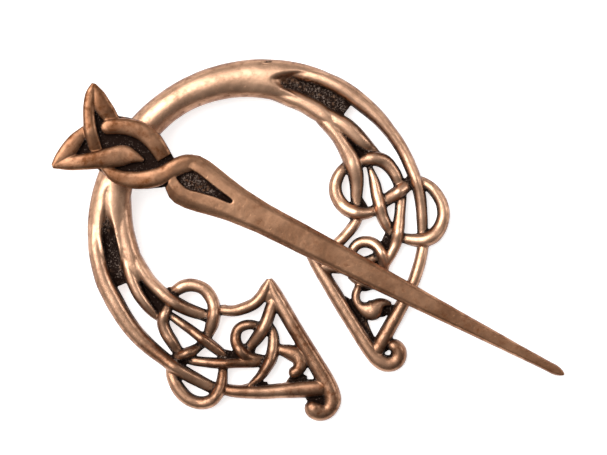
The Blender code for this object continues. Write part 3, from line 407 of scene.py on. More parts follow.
KNOT_STRANDS: tuple[Strand, ...] = (
    Strand("blade", (
        (-8.2, 10.2, 0.2, 0.5), (-6.6, 8.2, 0.4, 2.1), (-5.1, 6.0, OVER, 2.6), (-3.7, 4.0, OVER, 2.9),
        (-2.2, 2.0, 0.6, 3.4), (-0.8, 0.1, 0, 3.4), (-0.3, -1.5, 0, 2.0),
        (-0.1, -3.2, -0.4, 0.4)), Section.PILLOW),
    Strand("left point", (
        (-8.1, 10.2, 0.2, 0.5), (-6.4, 9.65, 0.1, 1.9), (-4.3, 9.0, 0, 2.7), (-2.3, 8.65, -0.3, 2.4),
        (-0.7, 8.2, -0.8, 1.8), (0.6, 7.6, UNDER, 1.5)), Section.PILLOW),
    Strand("right point", (
        (7.7, 10.5, 0, 0.4), (6.0, 10.1, 0.2, 1.6), (4.0, 9.45, 0.3, 1.8), (2.1, 8.45, 0.4, 1.9),
        (0.3, 7.25, OVER, 2.1), (-1.1, 6.0, 0.2, 2.1), (-2.5, 4.7, UNDER, 2.1)), Section.PILLOW),
    Strand("right limb", (
        (7.6, 10.4, 0, 0.4), (6.3, 9.0, 0.1, 2.2), (5.2, 7.7, 0.1, 2.8), (4.5, 6.5, -0.2, 2.8),
        (4.0, 5.5, -0.7, 2.5), (3.4, 4.3, UNDER, 2.0)), Section.PILLOW),
    Strand("right bow", (
        (1.9, -6.1, UNDER, 2.4), (3.0, -4.3, -0.1, 2.8), (3.8, -2.5, 0.2, 2.9), (4.15, -0.4, 0.4, 2.9),
        (3.8, 1.7, 0.5, 2.7), (2.95, 3.7, 0.5, 2.6), (2.1, 5.1, 0.3, 2.5),
        (1.7, 6.1, 0.0, 2.2)), Section.PILLOW, free=True),
    Strand("left bow", (
        (-4.4, 2.5, -0.5, 0.6), (-4.65, 0.4, 0, 2.0), (-4.4, -1.7, 0.2, 2.6), (-3.5, -3.9, 0.4, 2.9),
        (-2.1, -5.9, OVER, 3.0), (-0.6, -7.3, OVER, 2.9), (1.2, -8.5, OVER, 2.9), (2.8, -9.9, 0.5, 2.9),
        (3.5, -11.4, -0.3, 2.4), (3.6, -12.6, UNDER, 1.8)), Section.PILLOW),
)

# Outline of the plate under the knot
PLATE_OUTLINE: Points = (
    (-8.0, 10.0), (-5.0, 3.3), (-5.5, 1.2), (-5.65, -0.8), (-5.4, -2.8), (-4.3, -5.8), (-2.7, -8.2),
    (-1.6, -9.4), (1.4, -9.4), (2.9, -7.2), (4.1, -5.5), (5.1, -3.8), (5.65, -1.8), (5.75, 0.2),
    (5.3, 2.4), (4.7, 4.2), (7.2, 10.0), (3.4, 9.4), (-0.3, 8.2), (-3.4, 9.4))

# Shaft: (share of its length from the shoulder, share of the way to the next named width)
FLARE_SHARES: Points = (
    (-0.036, 0.30), (-0.018, 0.80), (0.0, 1.0), (0.027, 0.98), (0.055, 0.81), (0.09, 0.54),
    (0.13, 0.30), (0.20, 0.07), (0.30, 0.0))
TAPER_SHARES: Points = ((0.47, 0.22), (0.60, 0.42), (0.75, 0.69), (0.88, 0.91), (0.95, 1.0))

# Rounding of its tip: (share of its length, share of its width left)
TIP_SHARES: Points = ((0.975, 1.0), (0.985, 0.85), (0.993, 0.62), (1.0, 0.25))

# Left side of its section, from the back to the flat top: (share of width, share of thickness)
SHAFT_SIDE: Points = (
    (-0.36, 0), (-0.46, 0.06), (-0.5, 0.22), (-0.5, 0.5), (-0.47, 0.66), (-0.40, 0.86), (-0.335, 0.965),
    (-0.29, 1))

TEARDROP = Recess(
    ((0.3, -9.5), (1.3, -9.8), (1.9, -10.6), (1.95, -11.9), (1.75, -13.4), (1.2, -16.2), (0.55, -19.6),
     (0.25, -16.8), (-0.2, -14.4), (-0.65, -12.4), (-0.5, -11.0), (-0.15, -10.1)),
    floor=1.1, wall=0.4, grime=0.34)

# Ground of the knot, as deep as the plate
GROUND = Recess(PLATE_OUTLINE, floor=0.9, wall=0.4, grime=0.46, grained=False)

# Panels beside the rails, right and left, and the dent by the crown
PANELS = (
    Recess(((16.9, 18.6), (17.6, 17.3), (18.6, 15.6), (20.0, 12.9), (21.7, 9.9), (23.1, 7.4), (23.7, 5.0),
            (24.0, 2.5), (26.8, 2.5), (26.0, 6.0), (25.1, 8.3), (24.1, 11.2), (22.7, 14.1), (21.0, 16.5),
            (19.4, 17.9), (17.9, 18.7)),
           floor=1.4, wall=0.9, fade=(14.8, 19.9), grime=0.36),
    Recess(((-17.0, 19.6), (-18.5, 17.6), (-20.0, 15.4), (-20.9, 13.2), (-21.7, 11.2), (-22.6, 9.0),
            (-23.6, 7.2), (-24.2, 5.0), (-24.4, 2.5), (-26.3, 2.5), (-25.9, 5.0), (-25.2, 7.5),
            (-24.1, 10.2), (-22.8, 12.8), (-21.4, 15.2), (-20.0, 17.2), (-18.4, 19.2)),
           floor=1.4, wall=0.5, fade=(11.0, 18.0), grime=0.40),
    Recess(((16.9, 22.0), (17.8, 21.9), (18.7, 21.2), (17.8, 21.3)), floor=2.7, wall=0.5, grime=0.30))


def carry_curve(knots: Array, count: int) -> Array:
    """Carry a Catmull-Rom curve through knots, but the first and the last of them.

    Each stretch is the cubic that passes both its ends with the slope of the knots beside
    them.

    Args:
        knots: The knots, one a row.
        count: Points on each stretch.

    Returns:
        The curve's points, without its end.
    """
    before, start, end, after = (knots[at:len(knots) - 3 + at, None] for at in range(4))
    share = np.linspace(0, 1, count, endpoint=False)[None, :, None]
    curve = 0.5 * (2 * start + (end - before) * share
                   + (2 * before - 5 * start + 4 * end - after) * share ** 2
                   + (3 * start - before - 3 * end + after) * share ** 3)
    return curve.reshape(-1, knots.shape[1])


def smooth_route(points: Array, step: float) -> Array:
    """Carry a smooth curve through route points and read it at even steps.

    Args:
        points: Route points, one a row; the first two columns are plan coordinates.
        step: Wanted distance between samples, in plan.

    Returns:
        The sampled points, one a row.
    """
    knots = np.vstack((2 * points[0] - points[1], points, 2 * points[-1] - points[-2]))
    fine = np.vstack((carry_curve(knots, ROUTE_POINTS), points[-1:]))
    run = np.concatenate(((0.0,), np.cumsum(np.linalg.norm(np.diff(fine[:, :2], axis=0), axis=1))))
    stops = np.linspace(0, run[-1], max(4, math.ceil(run[-1] / step) + 1))
    return np.stack([np.interp(stops, run, column) for column in fine.T], axis=1)


def plan_normals(plan: Array) -> Array:
    """Find the unit vectors across a plan path, a quarter turn left of its direction.

    Args:
        plan: The path's points, one a row.

    Returns:
        One vector for each point.
    """
    along = np.gradient(plan, axis=0)
    along /= np.linalg.norm(along, axis=1)[:, None]
    return np.stack((-along[:, 1], along[:, 0]), axis=1)


def ease(share: Array) -> Array:
    """Smooth step: 0 below 0, 1 above 1, and a cubic with level ends between them."""
    held = np.clip(share, 0, 1)
    return held * held * (3 - 2 * held)


def ease_over(value: Array, start: float, run: float | Array) -> Array:
    """Smooth step of a value: 0 up to its start, and 1 a run further on."""
    return ease((value - start) / run)


def inside_distance(plan: Array, outline: Array) -> Array:
    """Distance from plan points to a closed outline, positive inside it.

    The distance is the least over the outline's sides. A point is inside where a ray from it
    towards +X crosses an odd number of sides.

    Args:
        plan: Points, one a row.
        outline: Corners of the outline, one a row.

    Returns:
        One distance for each point.
    """
    start = outline[None]
    side = np.roll(outline, -1, axis=0)[None] - start
    offset = plan[:, None] - start
    share = np.clip((offset * side).sum(axis=2) / (side * side).sum(axis=2), 0, 1)
    distance = np.linalg.norm(offset - side * share[..., None], axis=2).min(axis=1)
    spans = (offset[..., 1] < 0) != (offset[..., 1] < side[..., 1])
    with np.errstate(divide="ignore", invalid="ignore"):
        crossing = offset[..., 1] * side[..., 0] / side[..., 1]
    inside = (spans & (offset[..., 0] < crossing)).sum(axis=1) % 2 == 1
    return np.where(inside, distance, -distance)


def lattice_noise(points: Array, size: float, seed: int) -> Array:
    """Smooth noise from -1 to 1 with features of a given size.

    Seeded random numbers stand on a cubic lattice of that size, and a point blends the eight
    round it by smooth steps along each axis.

    Args:
        points: Points in space, one a row.
        size: Spacing of the lattice, in the points' unit.
        seed: Which noise of this size.

    Returns:
        One value for each point.
    """
    values = np.random.default_rng(seed).uniform(-1, 1, (LATTICE, LATTICE, LATTICE))
    place = points / size
    cell = np.floor(place).astype(int)
    share = ease(place - cell)
    total = np.zeros(len(points))
    for corner in np.ndindex(2, 2, 2):
        x, y, z = ((cell + corner) % LATTICE).T
        weight = np.prod(np.where(corner, share, 1 - share), axis=1)
        total += weight * values[x, y, z]
    return total


def bar_grid(strand: Strand, base: float, height: float, rise: float, step: float) -> Array:
    """Surface of a bar carried along its route.

    The section is a superellipse over its upper half: across = half the width times cos to the
    power 2/n, and up = the crest's height times sin to the same power. Below it the sides
    drop straight to the base. The crest stands at the height plus the rise times the level.
    A free end is rounded off as a ball: the width and the crest fall along a quarter circle.

    Args:
        strand: The bar to build.
        base: Height of its underside.
        height: Height of its crest over the base, at level 0.
        rise: How much a level adds to the height.
        step: Spacing of the stations along it.

    Returns:
        Points by station and place round the section.
    """
    path = smooth_route(np.array(strand.route, dtype=float), step)
    widths = path[:, 3] + WELD_LOSS
    left = np.linspace(1, 0, len(path)) * (len(path) - 1) * step
    share = np.clip(1 - left / (0.5 * widths[-1]), 0, BALL_REACH) if strand.free else 0 * widths
    ball = np.sqrt(1 - share ** 2)
    crest = (height + rise * path[:, 2]) * (1 - END_FALL + END_FALL * ball)
    power = 2 / strand.section.value
    turn = np.linspace(0, math.pi, ARC_POINTS)
    arc = 0.5 * np.sign(np.cos(turn)) * np.abs(np.cos(turn)) ** power
    across = np.concatenate(((0.5,), arc, (-0.5,)))
    up = np.concatenate(((0.0,), SIDE + (1 - SIDE) * np.sin(turn) ** power, (0.0,)))
    offset = (ball * widths)[:, None] * across
    plan = path[:, None, :2] + plan_normals(path[:, :2])[:, None] * offset[..., None]
    return np.concatenate((plan, (base + crest[:, None] * up)[..., None]), axis=2)


def placed(name: str, data: bpy.types.ID) -> bpy.types.Object:
    """Put a new object into the scene.

    Args:
        name: Name of the object.
        data: Its mesh, lamp or camera.

    Returns:
        The object.
    """
    made = bpy.data.objects.new(name, data)
    bpy.context.scene.collection.objects.link(made)
    return made


def read_each(items: bpy.types.bpy_prop_collection, name: str, size: int = 3) -> Array:
    """Read one property of all items of a mesh, such as its vertices.

    Args:
        items: The items.
        name: Name of the property.
        size: How many numbers it has.

    Returns:
        The property of one item a row.
    """
    values = np.empty(len(items) * size, dtype=np.float32)
    items.foreach_get(name, values)
    return values.reshape(-1, size).astype(float)


def read_points(mesh: Mesh) -> Array:
    """Vertices of a mesh, one a row."""
    return read_each(mesh.vertices, "co")


def read_normals(mesh: Mesh) -> Array:
    """Normals of a mesh's vertices, one a row."""
    return read_each(mesh.vertex_normals, "vector")


def write_points(mesh: Mesh, points: Array) -> None:
    """Put vertices back into a mesh."""
    mesh.vertices.foreach_set("co", points.astype(np.float32).ravel())
    mesh.update()


def write_attribute(mesh: Mesh, name: str, values: Array) -> None:
    """Store one number for each vertex under a name that a material can read."""
    attribute = mesh.attributes.new(name, "FLOAT", "POINT")
    attribute.data.foreach_set("value", values.astype(np.float32))


@dataclass
class ReliefMap:
    """Heights of a casting's front over its plan, on a square grid.

    Attributes:
        points: Points of the front, in millimetres.
        cell: Size of a cell.
        margin: Empty border round the casting.
    """

    points: Array
    cell: float = 0.2
    margin: float = 4.0

    EMPTY = -99.0         # Height of a cell without metal
    ENOUGH = 3            # Cells with metal round an empty one that make it a lone gap
    DIRECTIONS = 16       # Ways in which the relief is read
    LEAST_RISE = 0.15     # Least rise of a normal that a slope is read from

    def __post_init__(self) -> None:
        """Keep the highest point of each cell, and fill lone gaps from the cells beside them."""
        self.low = self.points[:, :2].min(axis=0) - self.margin
        size = self.points[:, :2].max(axis=0) + self.margin - self.low
        columns, rows = np.ceil(size / self.cell).astype(int) + 1
        heights = np.full((rows, columns), self.EMPTY)
        column, row = ((self.points[:, :2] - self.low) / self.cell).astype(int).T
        np.maximum.at(heights, (row, column), self.points[:, 2])
        around = np.stack([np.roll(heights, shift, axis) for axis in (0, 1) for shift in (-1, 1)])
        known = (around > self.EMPTY).sum(axis=0)
        gap = (heights == self.EMPTY) & (known >= self.ENOUGH)
        self.heights = np.where(gap, around.max(axis=0), heights)

    def at(self, plan: Array) -> Array:
        """Look up heights.

        Args:
            plan: Plan points, one a row.

        Returns:
            The height of the cell that each lies in.
        """
        column, row = ((plan - self.low) / self.cell).astype(int).T
        rows, columns = self.heights.shape
        return self.heights[np.clip(row, 0, rows - 1), np.clip(column, 0, columns - 1)]

    def ways(self) -> Array:
        """Unit vectors in plan, one a row, evenly all round."""
        turns = np.arange(self.DIRECTIONS) * 2 * math.pi / self.DIRECTIONS
        return np.stack((np.cos(turns), np.sin(turns)), axis=1)

    def ring(self, points: Array, radius: float) -> Array:
        """Heights on a circle round each point, by direction and point."""
        return np.stack([self.at(points[:, :2] + step) for step in radius * self.ways()])

    def hollow(self, points: Array, normals: Array, radii: tuple[float, ...]) -> Array:
        """How much the relief round each point hides of its view, from 0 to 1.

        In each direction the horizon stands at the steepest rise among the given distances.
        The angle between it and the skin's own slope that way, as a share of a quarter turn,
        is averaged over the directions.

        Args:
            points: Points of the skin, one a row.
            normals: Their unit normals.
            radii: The distances.

        Returns:
            One value for each point.
        """
        slope = -(self.ways() @ normals[:, :2].T) / np.maximum(normals[:, 2], self.LEAST_RISE)
        horizon = slope
        for radius in radii:
            horizon = np.maximum(horizon, (self.ring(points, radius) - points[:, 2]) / radius)
        return (np.arctan(horizon) - np.arctan(slope)).mean(axis=0) / (math.pi / 2)

    def stands_out(self, points: Array, radii: tuple[float, ...]) -> Array:
        """Measure how far points are over the metal round them.

        Args:
            points: Points of the skin, one a row.
            radii: Distances at which the metal is read.

        Returns:
            One height for each point, in millimetres.
        """
        rings = np.concatenate([self.ring(points, radius) for radius in radii])
        metal = rings > self.EMPTY
        return points[:, 2] - np.where(metal, rings, 0).sum(axis=0) / np.maximum(metal.sum(axis=0), 1)


@dataclass(frozen=True)
class CastSkin:
    """Relief of a cast skin, made of noises given as (size, height, seed), in millimetres.

    Attributes:
        waves: Slow waves, all over but on the back.
        grains: Grain of the sunken floors, its heights as shares of the grain's height.
        grain_height: Height of the grain.
        rim: Run over which the grain starts at a panel's outline.
    """

    waves: Noises
    grains: Noises
    grain_height: float
    rim: float

    LEAD = -0.1       # Distance inside an outline at which its grain starts
    RISEN_LOSS = 0.8  # Share of the grain that a risen floor loses
    BOTTOM = 0.6      # Height over the underside from which there is grain
    FACING = 0.2      # Least rise of a normal where there is grain
    BACK = -0.5       # Rise of a normal up to which the skin is the back

    def moved(self, points: Array, normals: Array, recesses: tuple[Recess, ...], base: float) -> Array:
        """Work out how far each point of a skin moves out along its normal.

        Args:
            points: The skin's points.
            normals: Their unit normals.
            recesses: The sunken panels.
            base: Height of the casting's underside.

        Returns:
            One distance for each point.
        """
        shares = [ease_over(recess.inside(points[:, :2]), self.LEAD, self.rim)
                  * (1 - self.RISEN_LOSS * recess.risen(points[:, 1]))
                  for recess in recesses if recess.grained]
        open_metal = (points[:, 2] > base + self.BOTTOM) * (normals[:, 2] > self.FACING)
        floors = np.max(shares, axis=0) * open_metal
        waves, grain = (sum(height * lattice_noise(points, size, seed) for size, height, seed in noises)
                        for noises in (self.waves, self.grains))
        return (waves + self.grain_height * floors * grain) * (normals[:, 2] > self.BACK)


@dataclass
class Casting:
    """Closed solids of one casting, welded into one cast skin, in millimetres.

    Attributes:
        name: Name of the finished piece.
        base: Height of its underside.
        voxel: Size of the cells that weld it.
        triangles: How many triangles the finished skin may have.
        recesses: Its sunken panels, whose floors hold grain and grime.
        skin: Relief of its skin.
        painted_falloff: Painted shade that fades the rubbed brightness over it.
        points: Vertices of its solids.
        faces: Their faces.
        count: How many vertices there are.
    """

    name: str
    base: float
    voxel: float
    triangles: int
    recesses: tuple[Recess, ...]
    skin: CastSkin
    painted_falloff: PaintedFalloff
    points: list[Array] = field(default_factory=list)
    faces: list[list[int]] = field(default_factory=list)
    count: int = 0

    # Hollowness of a panel: height over its floor up to which it is grimy, what that gains
    # where the floor has risen, the run over which grime thins out, and what it loses there
    DEEP = 0.65
    DEEP_GAIN = 2.2
    DEEP_RUN = 0.5
    GRIME_LOSS = 0.45

    # Painted shade on a panel's rising floor: the share of the rubbed brightness it takes away, and how early in
    # the rise
    PANEL_SHADE_SHARE = 0.7
    LOSS_LEAD = 4

    # Smooth steps, as start and run: of the distance inside a panel, where it is grimy and
    # where painted shade darkens it; of a normal's rise, where the back ends and where metal is
    # bright, rubbed where it faces up and painted light there, with painted shade on the sides;
    # and of the height over the metal round it, where a crest is rubbed more
    GRIMY = (-0.4, 0.6)
    PANEL_SHADE_SPAN = (-0.2, 0.9)
    FRONT = (-0.6, 0.6)
    RUBBED_AND_LIT = (0.35, 0.55)
    CREST = (-0.2, 1.1)

    # The most hollow that the back may be, and what the front may be over that
    BACK_HOLLOW = 0.17
    FRONT_GAIN = 0.6

    # Share of the rubbing that flat metal has, less than a crest
    FLAT_RUB = 0.5

    # Least rise of a normal that makes part of the relief
    RELIEF_RISE = 0.05

    # How far under the underside a skin may lie and still be part of the front
    SLACK = 0.1

    def add(self, grid: Array, ring: bool = False) -> None:
        """Add a tube of quads through stations of points.

        Args:
            grid: Points by station and place round the section.
            ring: Whether the tube closes on itself; if not, a face covers each end.
        """
        stations, around = grid.shape[:2]
        here = np.arange(stations if ring else stations - 1)[:, None]
        near = np.arange(around)[None, :]
        far = (near + 1) % around
        row = self.count + here * around
        after = self.count + (here + 1) % stations * around
        quads = np.stack((row + near, row + far, after + far, after + near), axis=2)
        self.faces.extend(quads.reshape(-1, 4).tolist())
        if not ring:
            last = self.count + (stations - 1) * around
            self.faces.append(list(range(self.count + around - 1, self.count - 1, -1)))
            self.faces.append(list(range(last, last + around)))
        self.points.append(grid.reshape(-1, 3))
        self.count += stations * around

    def evaluated(self, mesh: Mesh, kind: str, **settings: object) -> Mesh:
        """Apply one modifier to a mesh.

        Args:
            mesh: The mesh, which is used up.
            kind: Type of the modifier.
            **settings: Its properties.

        Returns:
            The new mesh.
        """
        holder = placed(self.name + "_work", mesh)
        modifier = holder.modifiers.new(kind, kind)
        for key, value in settings.items():
            setattr(modifier, key, value)
        after = holder.evaluated_get(bpy.context.evaluated_depsgraph_get())
        made = bpy.data.meshes.new_from_object(after)
        bpy.data.objects.remove(holder, do_unlink=True)
        bpy.data.meshes.remove(mesh)
        return made

    def weld(self) -> Mesh:
        """Join the solids into one closed skin and soften it as casting and polishing do.

        Returns:
            The skin.
        """
        mesh = bpy.data.meshes.new(self.name)
        mesh.from_pydata(np.vstack(self.points).tolist(), [], self.faces)
        mesh = self.evaluated(mesh, "REMESH", mode="VOXEL", voxel_size=self.voxel, use_smooth_shade=True)
        return self.evaluated(mesh, "SMOOTH", factor=0.5, iterations=3)

    def thin(self, mesh: Mesh) -> Mesh:
        """Bring a skin under its number of triangles, keeping its shape.

        Args:
            mesh: The skin, which is used up.

        Returns:
            The new skin.
        """
        mesh.calc_loop_triangles()
        ratio = min(1.0, self.triangles / len(mesh.loop_triangles))
        return self.evaluated(mesh, "DECIMATE", ratio=ratio)

    def wear_and_shade(self, points: Array, normals: Array) -> tuple[Array, Array]:
        """Work out what the finish reads of the skin's relief.

        A point is as hollow as the relief round it says, or as the grime of a panel over its
        deep floor. The back, which the relief doesn't see, is held to a low hollowness. A point
        is bright as far as it stands out, as rubbing wears crests, and as far as it faces up, as
        painted light, with painted shade on its sides; the painted falloff and the painted shade
        in the panels' rising floors take some of that away.

        Args:
            points: The skin's points.
            normals: Their unit normals.

        Returns:
            How hollow each point is, and how bright it is from rubbing and painted light, from 0 to 1.
        """
        relief = ReliefMap(points[normals[:, 2] > self.RELIEF_RISE])
        hollow = relief.hollow(points, normals, HOLLOW_RADII)
        # Painted shade: the falloff darkens parts of the casting along one plan direction
        kept = self.painted_falloff.kept(points)
        for recess in self.recesses:
            risen, inside = recess.risen(points[:, 1]), recess.inside(points[:, :2])
            level = self.base + recess.floor + self.DEEP + self.DEEP_GAIN * risen
            deep = ease((level - points[:, 2]) / self.DEEP_RUN) * (normals[:, 2] > 0)
            grime = recess.grime * (1 - self.GRIME_LOSS * risen) * deep
            start, run = self.GRIMY
            hollow = np.maximum(hollow, grime * ease_over(inside, start, run + risen))
            # Painted shade: the rubbed brightness is taken away inside a panel as its floor rises into a groove
            panel_shade = self.PANEL_SHADE_SHARE * np.minimum(self.LOSS_LEAD * risen, 1)
            kept *= 1 - panel_shade * ease_over(inside, *self.PANEL_SHADE_SPAN)
        front = ease_over(normals[:, 2], *self.FRONT) * (points[:, 2] > self.base - self.SLACK)
        crest = ease_over(relief.stands_out(points, CREST_RADII), *self.CREST)
        # Painted light and shade: metal facing up is bright and its sides turn brown; crests are also rubbed
        # brighter
        rub_and_light = ease_over(normals[:, 2], *self.RUBBED_AND_LIT) * (self.FLAT_RUB + (1 - self.FLAT_RUB) * crest)
        return np.minimum(hollow, self.BACK_HOLLOW + self.FRONT_GAIN * front), rub_and_light * kept

    def cast(self, place: Array) -> bpy.types.Object:
        """Weld the solids, give the skin its relief, its wear and its painted light and shade, and lay it down in
        metres.

        Args:
            place: Matrix from plan millimetres to metres.

        Returns:
            The finished object, at the origin.
        """
        mesh = self.weld()
        points, normals = read_points(mesh), read_normals(mesh)
        moved = self.skin.moved(points, normals, self.recesses, self.base)
        write_points(mesh, points + normals * moved[:, None])
        mesh = self.thin(mesh)
        for label, values in zip(("hollow", "rubbed_and_lit"), self.wear_and_shade(read_points(mesh), read_normals(mesh))):
            write_attribute(mesh, label, values)
        mesh.name = self.name
        mesh.transform(Matrix(place.tolist()))
        mesh.shade_smooth()
        LOG.info("%s: %d faces", self.name, len(mesh.polygons))
        return placed(self.name, mesh)


@dataclass(frozen=True)
class HoopPlan:
    """Sizes of the hoop in plan and height, in millimetres and degrees.

    The crown is on +Y and the gap between the ends on -Y, and the flat back is at height 0.
    The turns are the oval's parameter angles, from +X.

    Attributes:
        width: Across the whole oval, along X.
        height: The same along Y.
        crown_width: Width of the band at the crown.
        foot_width: Its width a quarter of the way round, where the ends begin.
        crown_thickness: Height of its crest at the crown.
        foot_thickness: The same a quarter of the way round.
        left_flare: Power by which its width grows on the left.
        right_flare: The same on the right.
        left_slot_turn: Where the band ends on the left.
        right_slot_turn: The same on the right.
        merge_turn: Turn over which its ends sink under the rails.
        merge_inset: How far each side draws in there.
        back_bevel: Bevel of its back edges.
        upright: Share of its crest's height that its sides stand upright.
        roundness: Powers of the superellipse on top, at the crown and at the feet.
        loop_turn: Where the pin's loop goes round it.
    """

    width: float = 59.0
    height: float = 56.0
    crown_width: float = 5.45
    foot_width: float = 10.66
    crown_thickness: float = 4.0
    foot_thickness: float = 2.9
    left_flare: float = 1.8
    right_flare: float = 1.47
    left_slot_turn: float = 169.0
    right_slot_turn: float = 17.0
    merge_turn: float = 16.0
    merge_inset: float = 0.4
    back_bevel: float = 0.9
    upright: float = 0.30
    roundness: tuple[float, float] = (2.0, 2.5)
    loop_turn: float = 114.0

    def edge(self, turn: Array) -> tuple[Array, Array]:
        """Find points of the oval outline.

        Args:
            turn: The oval's parameter angles, in radians.

        Returns:
            The points, and the outward unit normals there.
        """
        point = np.stack((self.width / 2 * np.cos(turn), self.height / 2 * np.sin(turn)), axis=-1)
        normal = np.stack((self.height / 2 * np.cos(turn), self.width / 2 * np.sin(turn)), axis=-1)
        return point, normal / np.linalg.norm(normal, axis=-1, keepdims=True)

    def from_crown(self, turn: Array) -> Array:
        """Distance from the crown: 0 there and 1 a quarter of the way round."""
        return np.abs(turn - math.pi / 2) / (math.pi / 2)

    def band_width(self, turn: Array) -> Array:
        """Width of the band: it grows from the crown by a power of the distance from it."""
        flare = np.where(turn > math.pi / 2, self.left_flare, self.right_flare)
        return self.crown_width + (self.foot_width - self.crown_width) * self.from_crown(turn) ** flare

    def band_crest(self, turn: Array) -> Array:
        """Height of the band, which falls evenly from the crown to its feet."""
        return self.crown_thickness + (self.foot_thickness - self.crown_thickness) * self.from_crown(turn)

    def hinge(self) -> tuple[Array, float]:
        """Find where the pin's loop goes round the band.

        Returns:
            The middle of the band's section there, and the outward direction in radians.
        """
        turn = np.array(math.radians(self.loop_turn))
        point, normal = self.edge(turn)
        middle = point - normal * self.band_width(turn) / 2
        return np.append(middle, self.band_crest(turn) / 2), math.atan2(normal[1], normal[0])


@dataclass(frozen=True)
class Lie:
    """Where the castings lie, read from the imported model.

    The hoop's back looks along the record's mount, and the hinge gives its turn and place.
    The pin's own turn about the hinge comes from the flat underside of its shaft: the normal
    and height in the middle of its underside, by area.

    Attributes:
        hoop: Matrix from the hoop's plan, in millimetres, to metres.
        pin: The same for the pin.
        underside: Height of the pin's underside over the hinge, in millimetres.
    """

    hoop: Array
    pin: Array
    underside: float

    LEAN = 20.0       # Degrees within which a face counts as part of the pin's underside
    FLAT = 1e-3       # Radians within which a face counts as part of its flat

    @classmethod
    def read(cls, plan: HoopPlan, skew: float) -> "Lie":
        """Work out both placements.

        Args:
            plan: The hoop's sizes.
            skew: Turn of the pin from the line across its loop, in degrees.

        Returns:
            Matrices from plan millimetres to metres, and the height of the pin's underside.
        """
        joint = frame["joints"][0]
        up = -cls.unit(frame["record"]["mounts"][0]["axis"])
        across = -cls.unit(joint["axis"])
        place = np.array(joint["pos_m"])
        middle, outward = plan.hinge()
        drawn = np.array(((math.sin(outward), -math.cos(outward), 0),
                          (math.cos(outward), math.sin(outward), 0), (0, 0, 1)))
        turn = np.stack((across, np.cross(up, across), up), axis=1) @ drawn
        normals, middles, areas = cls.faces(frame["nodes"]["pin"].data)
        below = normals @ -up > math.cos(math.radians(cls.LEAN))
        slopes = np.arctan2(normals[below] @ np.cross(up, across), normals[below] @ -up)
        slope = cls.middle_of(slopes, areas[below])
        pin_up = up * math.cos(slope) - np.cross(up, across) * math.sin(slope)
        heights = (middles[below] - place) @ pin_up
        flat = np.abs(slopes - slope) < cls.FLAT
        low = cls.middle_of(heights[flat], areas[below][flat])
        angle = math.radians(skew)
        spun = np.array(((math.cos(angle), -math.sin(angle), 0), (math.sin(angle), math.cos(angle), 0),
                         (0, 0, 1)))
        pin_turn = np.stack((across, np.cross(pin_up, across), pin_up), axis=1) @ spun
        return cls(cls.matrix(turn, place - turn @ middle * MM), cls.matrix(pin_turn, place), low / MM)

    @staticmethod
    def unit(vector: list[float]) -> Array:
        """A vector of length 1 along another."""
        return np.array(vector) / np.linalg.norm(vector)

    @staticmethod
    def matrix(turn: Array, place: Array) -> Array:
        """Make a matrix that scales millimetres to metres, turns and moves.

        Args:
            turn: Rotation, 3 by 3.
            place: Where the origin goes, in metres.

        Returns:
            The matrix, 4 by 4.
        """
        made = np.eye(4)
        made[:3, :3] = turn * MM
        made[:3, 3] = place
        return made

    @staticmethod
    def faces(mesh: Mesh) -> tuple[Array, Array, Array]:
        """Normals, middles and areas of a mesh's faces."""
        faces = mesh.polygons
        return read_each(faces, "normal"), read_each(faces, "center"), read_each(faces, "area", 1)[:, 0]

    @staticmethod
    def middle_of(values: Array, weights: Array) -> float:
        """Find the value that half of the weight lies below.

        Args:
            values: The values.
            weights: Their weights.

        Returns:
            The value.
        """
        order = np.argsort(values)
        total = np.cumsum(weights[order])
        return float(values[order][np.searchsorted(total, total[-1] / 2)])


